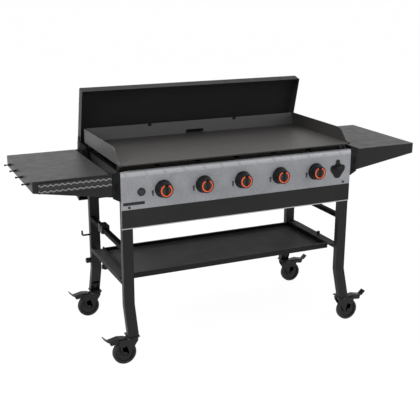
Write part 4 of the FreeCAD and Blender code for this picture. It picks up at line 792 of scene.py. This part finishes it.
# Screws of the rear panel: two rows on its outer face
REAR_SCREW_Y = 492.0
for i, x in ((0, 40.0), (1, 300.0), (3, 773.0), (4, panel_width - 40.0)):
    pan_screw("rear_screw_%d" % i, at(x, REAR_SCREW_Y, -22.0), (0, -1, 0), "rear_panel")
    pan_screw("rear_screw_low_%d" % i, at(x, REAR_SCREW_Y, -98.0), (0, -1, 0), "rear_panel")


# Plain pale floor and soft studio light
def seen_ray(tree):
    """1 for rays from the camera, and for glossy and transmitted ones."""
    path = tree.nodes.new("ShaderNodeLightPath")
    bent = math_node(tree, "MAXIMUM", path.outputs["Is Glossy Ray"], path.outputs["Is Transmission Ray"])
    return math_node(tree, "MAXIMUM", path.outputs["Is Camera Ray"], bent)


def make_stage():
    """Round floor that shades into the white surroundings."""
    floor_radius = 40.0
    glow_share = 0.93
    mesh = bpy.data.meshes.new("floor")
    work = bmesh.new()
    bmesh.ops.create_circle(work, cap_ends=True, segments=96, radius=floor_radius)
    work.to_mesh(mesh)
    work.free()
    floor = bpy.data.objects.new("floor", mesh)
    scene.collection.objects.link(floor)
    floor.location = (0, 0, -0.0005)
    mat, tree, shader = new_material("floor_pale")
    grain = noise(tree, coords(tree), 2.0, 2, 0.5)
    tree.links.new(ramp(tree, grain, [(0.3, (0.93, 0.93, 0.93)), (0.7, (0.95, 0.95, 0.95))]),
                   shader.inputs["Base Color"])
    shader.inputs["Roughness"].default_value = 0.9
    shader.inputs["Specular IOR Level"].default_value = 0.1
    glow = tree.nodes.new("ShaderNodeEmission")
    glow.inputs["Color"].default_value = (1, 1, 1, 1)
    glow.inputs["Strength"].default_value = 1.03
    mixer = tree.nodes.new("ShaderNodeMixShader")
    tree.links.new(math_node(tree, "MULTIPLY", seen_ray(tree), glow_share), mixer.inputs[0])
    tree.links.new(shader.outputs["BSDF"], mixer.inputs[1])
    tree.links.new(glow.outputs["Emission"], mixer.inputs[2])
    tree.links.new(mixer.outputs["Shader"], tree.nodes["Material Output"].inputs["Surface"])
    mesh.materials.append(mat)


def make_world():
    """Even light from all round; the camera, glossy and transmitted rays see white."""
    world = bpy.data.worlds.new("studio")
    scene.world = world
    world.use_nodes = True
    tree = world.node_tree
    tree.nodes.clear()
    out = tree.nodes.new("ShaderNodeOutputWorld")
    soft = tree.nodes.new("ShaderNodeBackground")
    soft.inputs["Color"].default_value = (1, 1, 1, 1)
    soft.inputs["Strength"].default_value = 0.55
    white = tree.nodes.new("ShaderNodeBackground")
    white.inputs["Color"].default_value = (1, 1, 1, 1)
    white.inputs["Strength"].default_value = 1.0
    mixer = tree.nodes.new("ShaderNodeMixShader")
    tree.links.new(seen_ray(tree), mixer.inputs[0])
    tree.links.new(soft.outputs["Background"], mixer.inputs[1])
    tree.links.new(white.outputs["Background"], mixer.inputs[2])
    tree.links.new(mixer.outputs["Shader"], out.inputs["Surface"])


def area_light(name, place, target, size, power):
    """Soft white rectangular lamp aimed at a point."""
    data = bpy.data.lights.new(name, "AREA")
    data.shape = "RECTANGLE"
    data.size, data.size_y = size
    data.energy = power
    lamp = bpy.data.objects.new(name, data)
    scene.collection.objects.link(lamp)
    lamp.location = place
    lamp.rotation_euler = (Vector(target) - Vector(place)).to_track_quat("-Z", "Y").to_euler()


make_stage()
make_world()
area_light("key_left", (-4.2, -1.2, 3.0), (0, 0, 0.6), (2.6, 2.0), 150)
area_light("fill_right", (3.4, -2.6, 2.2), (0, 0, 0.6), (2.0, 2.0), 40)
area_light("top_rear", (0.0, 1.0, 3.8), (0, 0.1, 0.8), (3.0, 1.6), 70)

scene.view_settings.view_transform = "Standard"
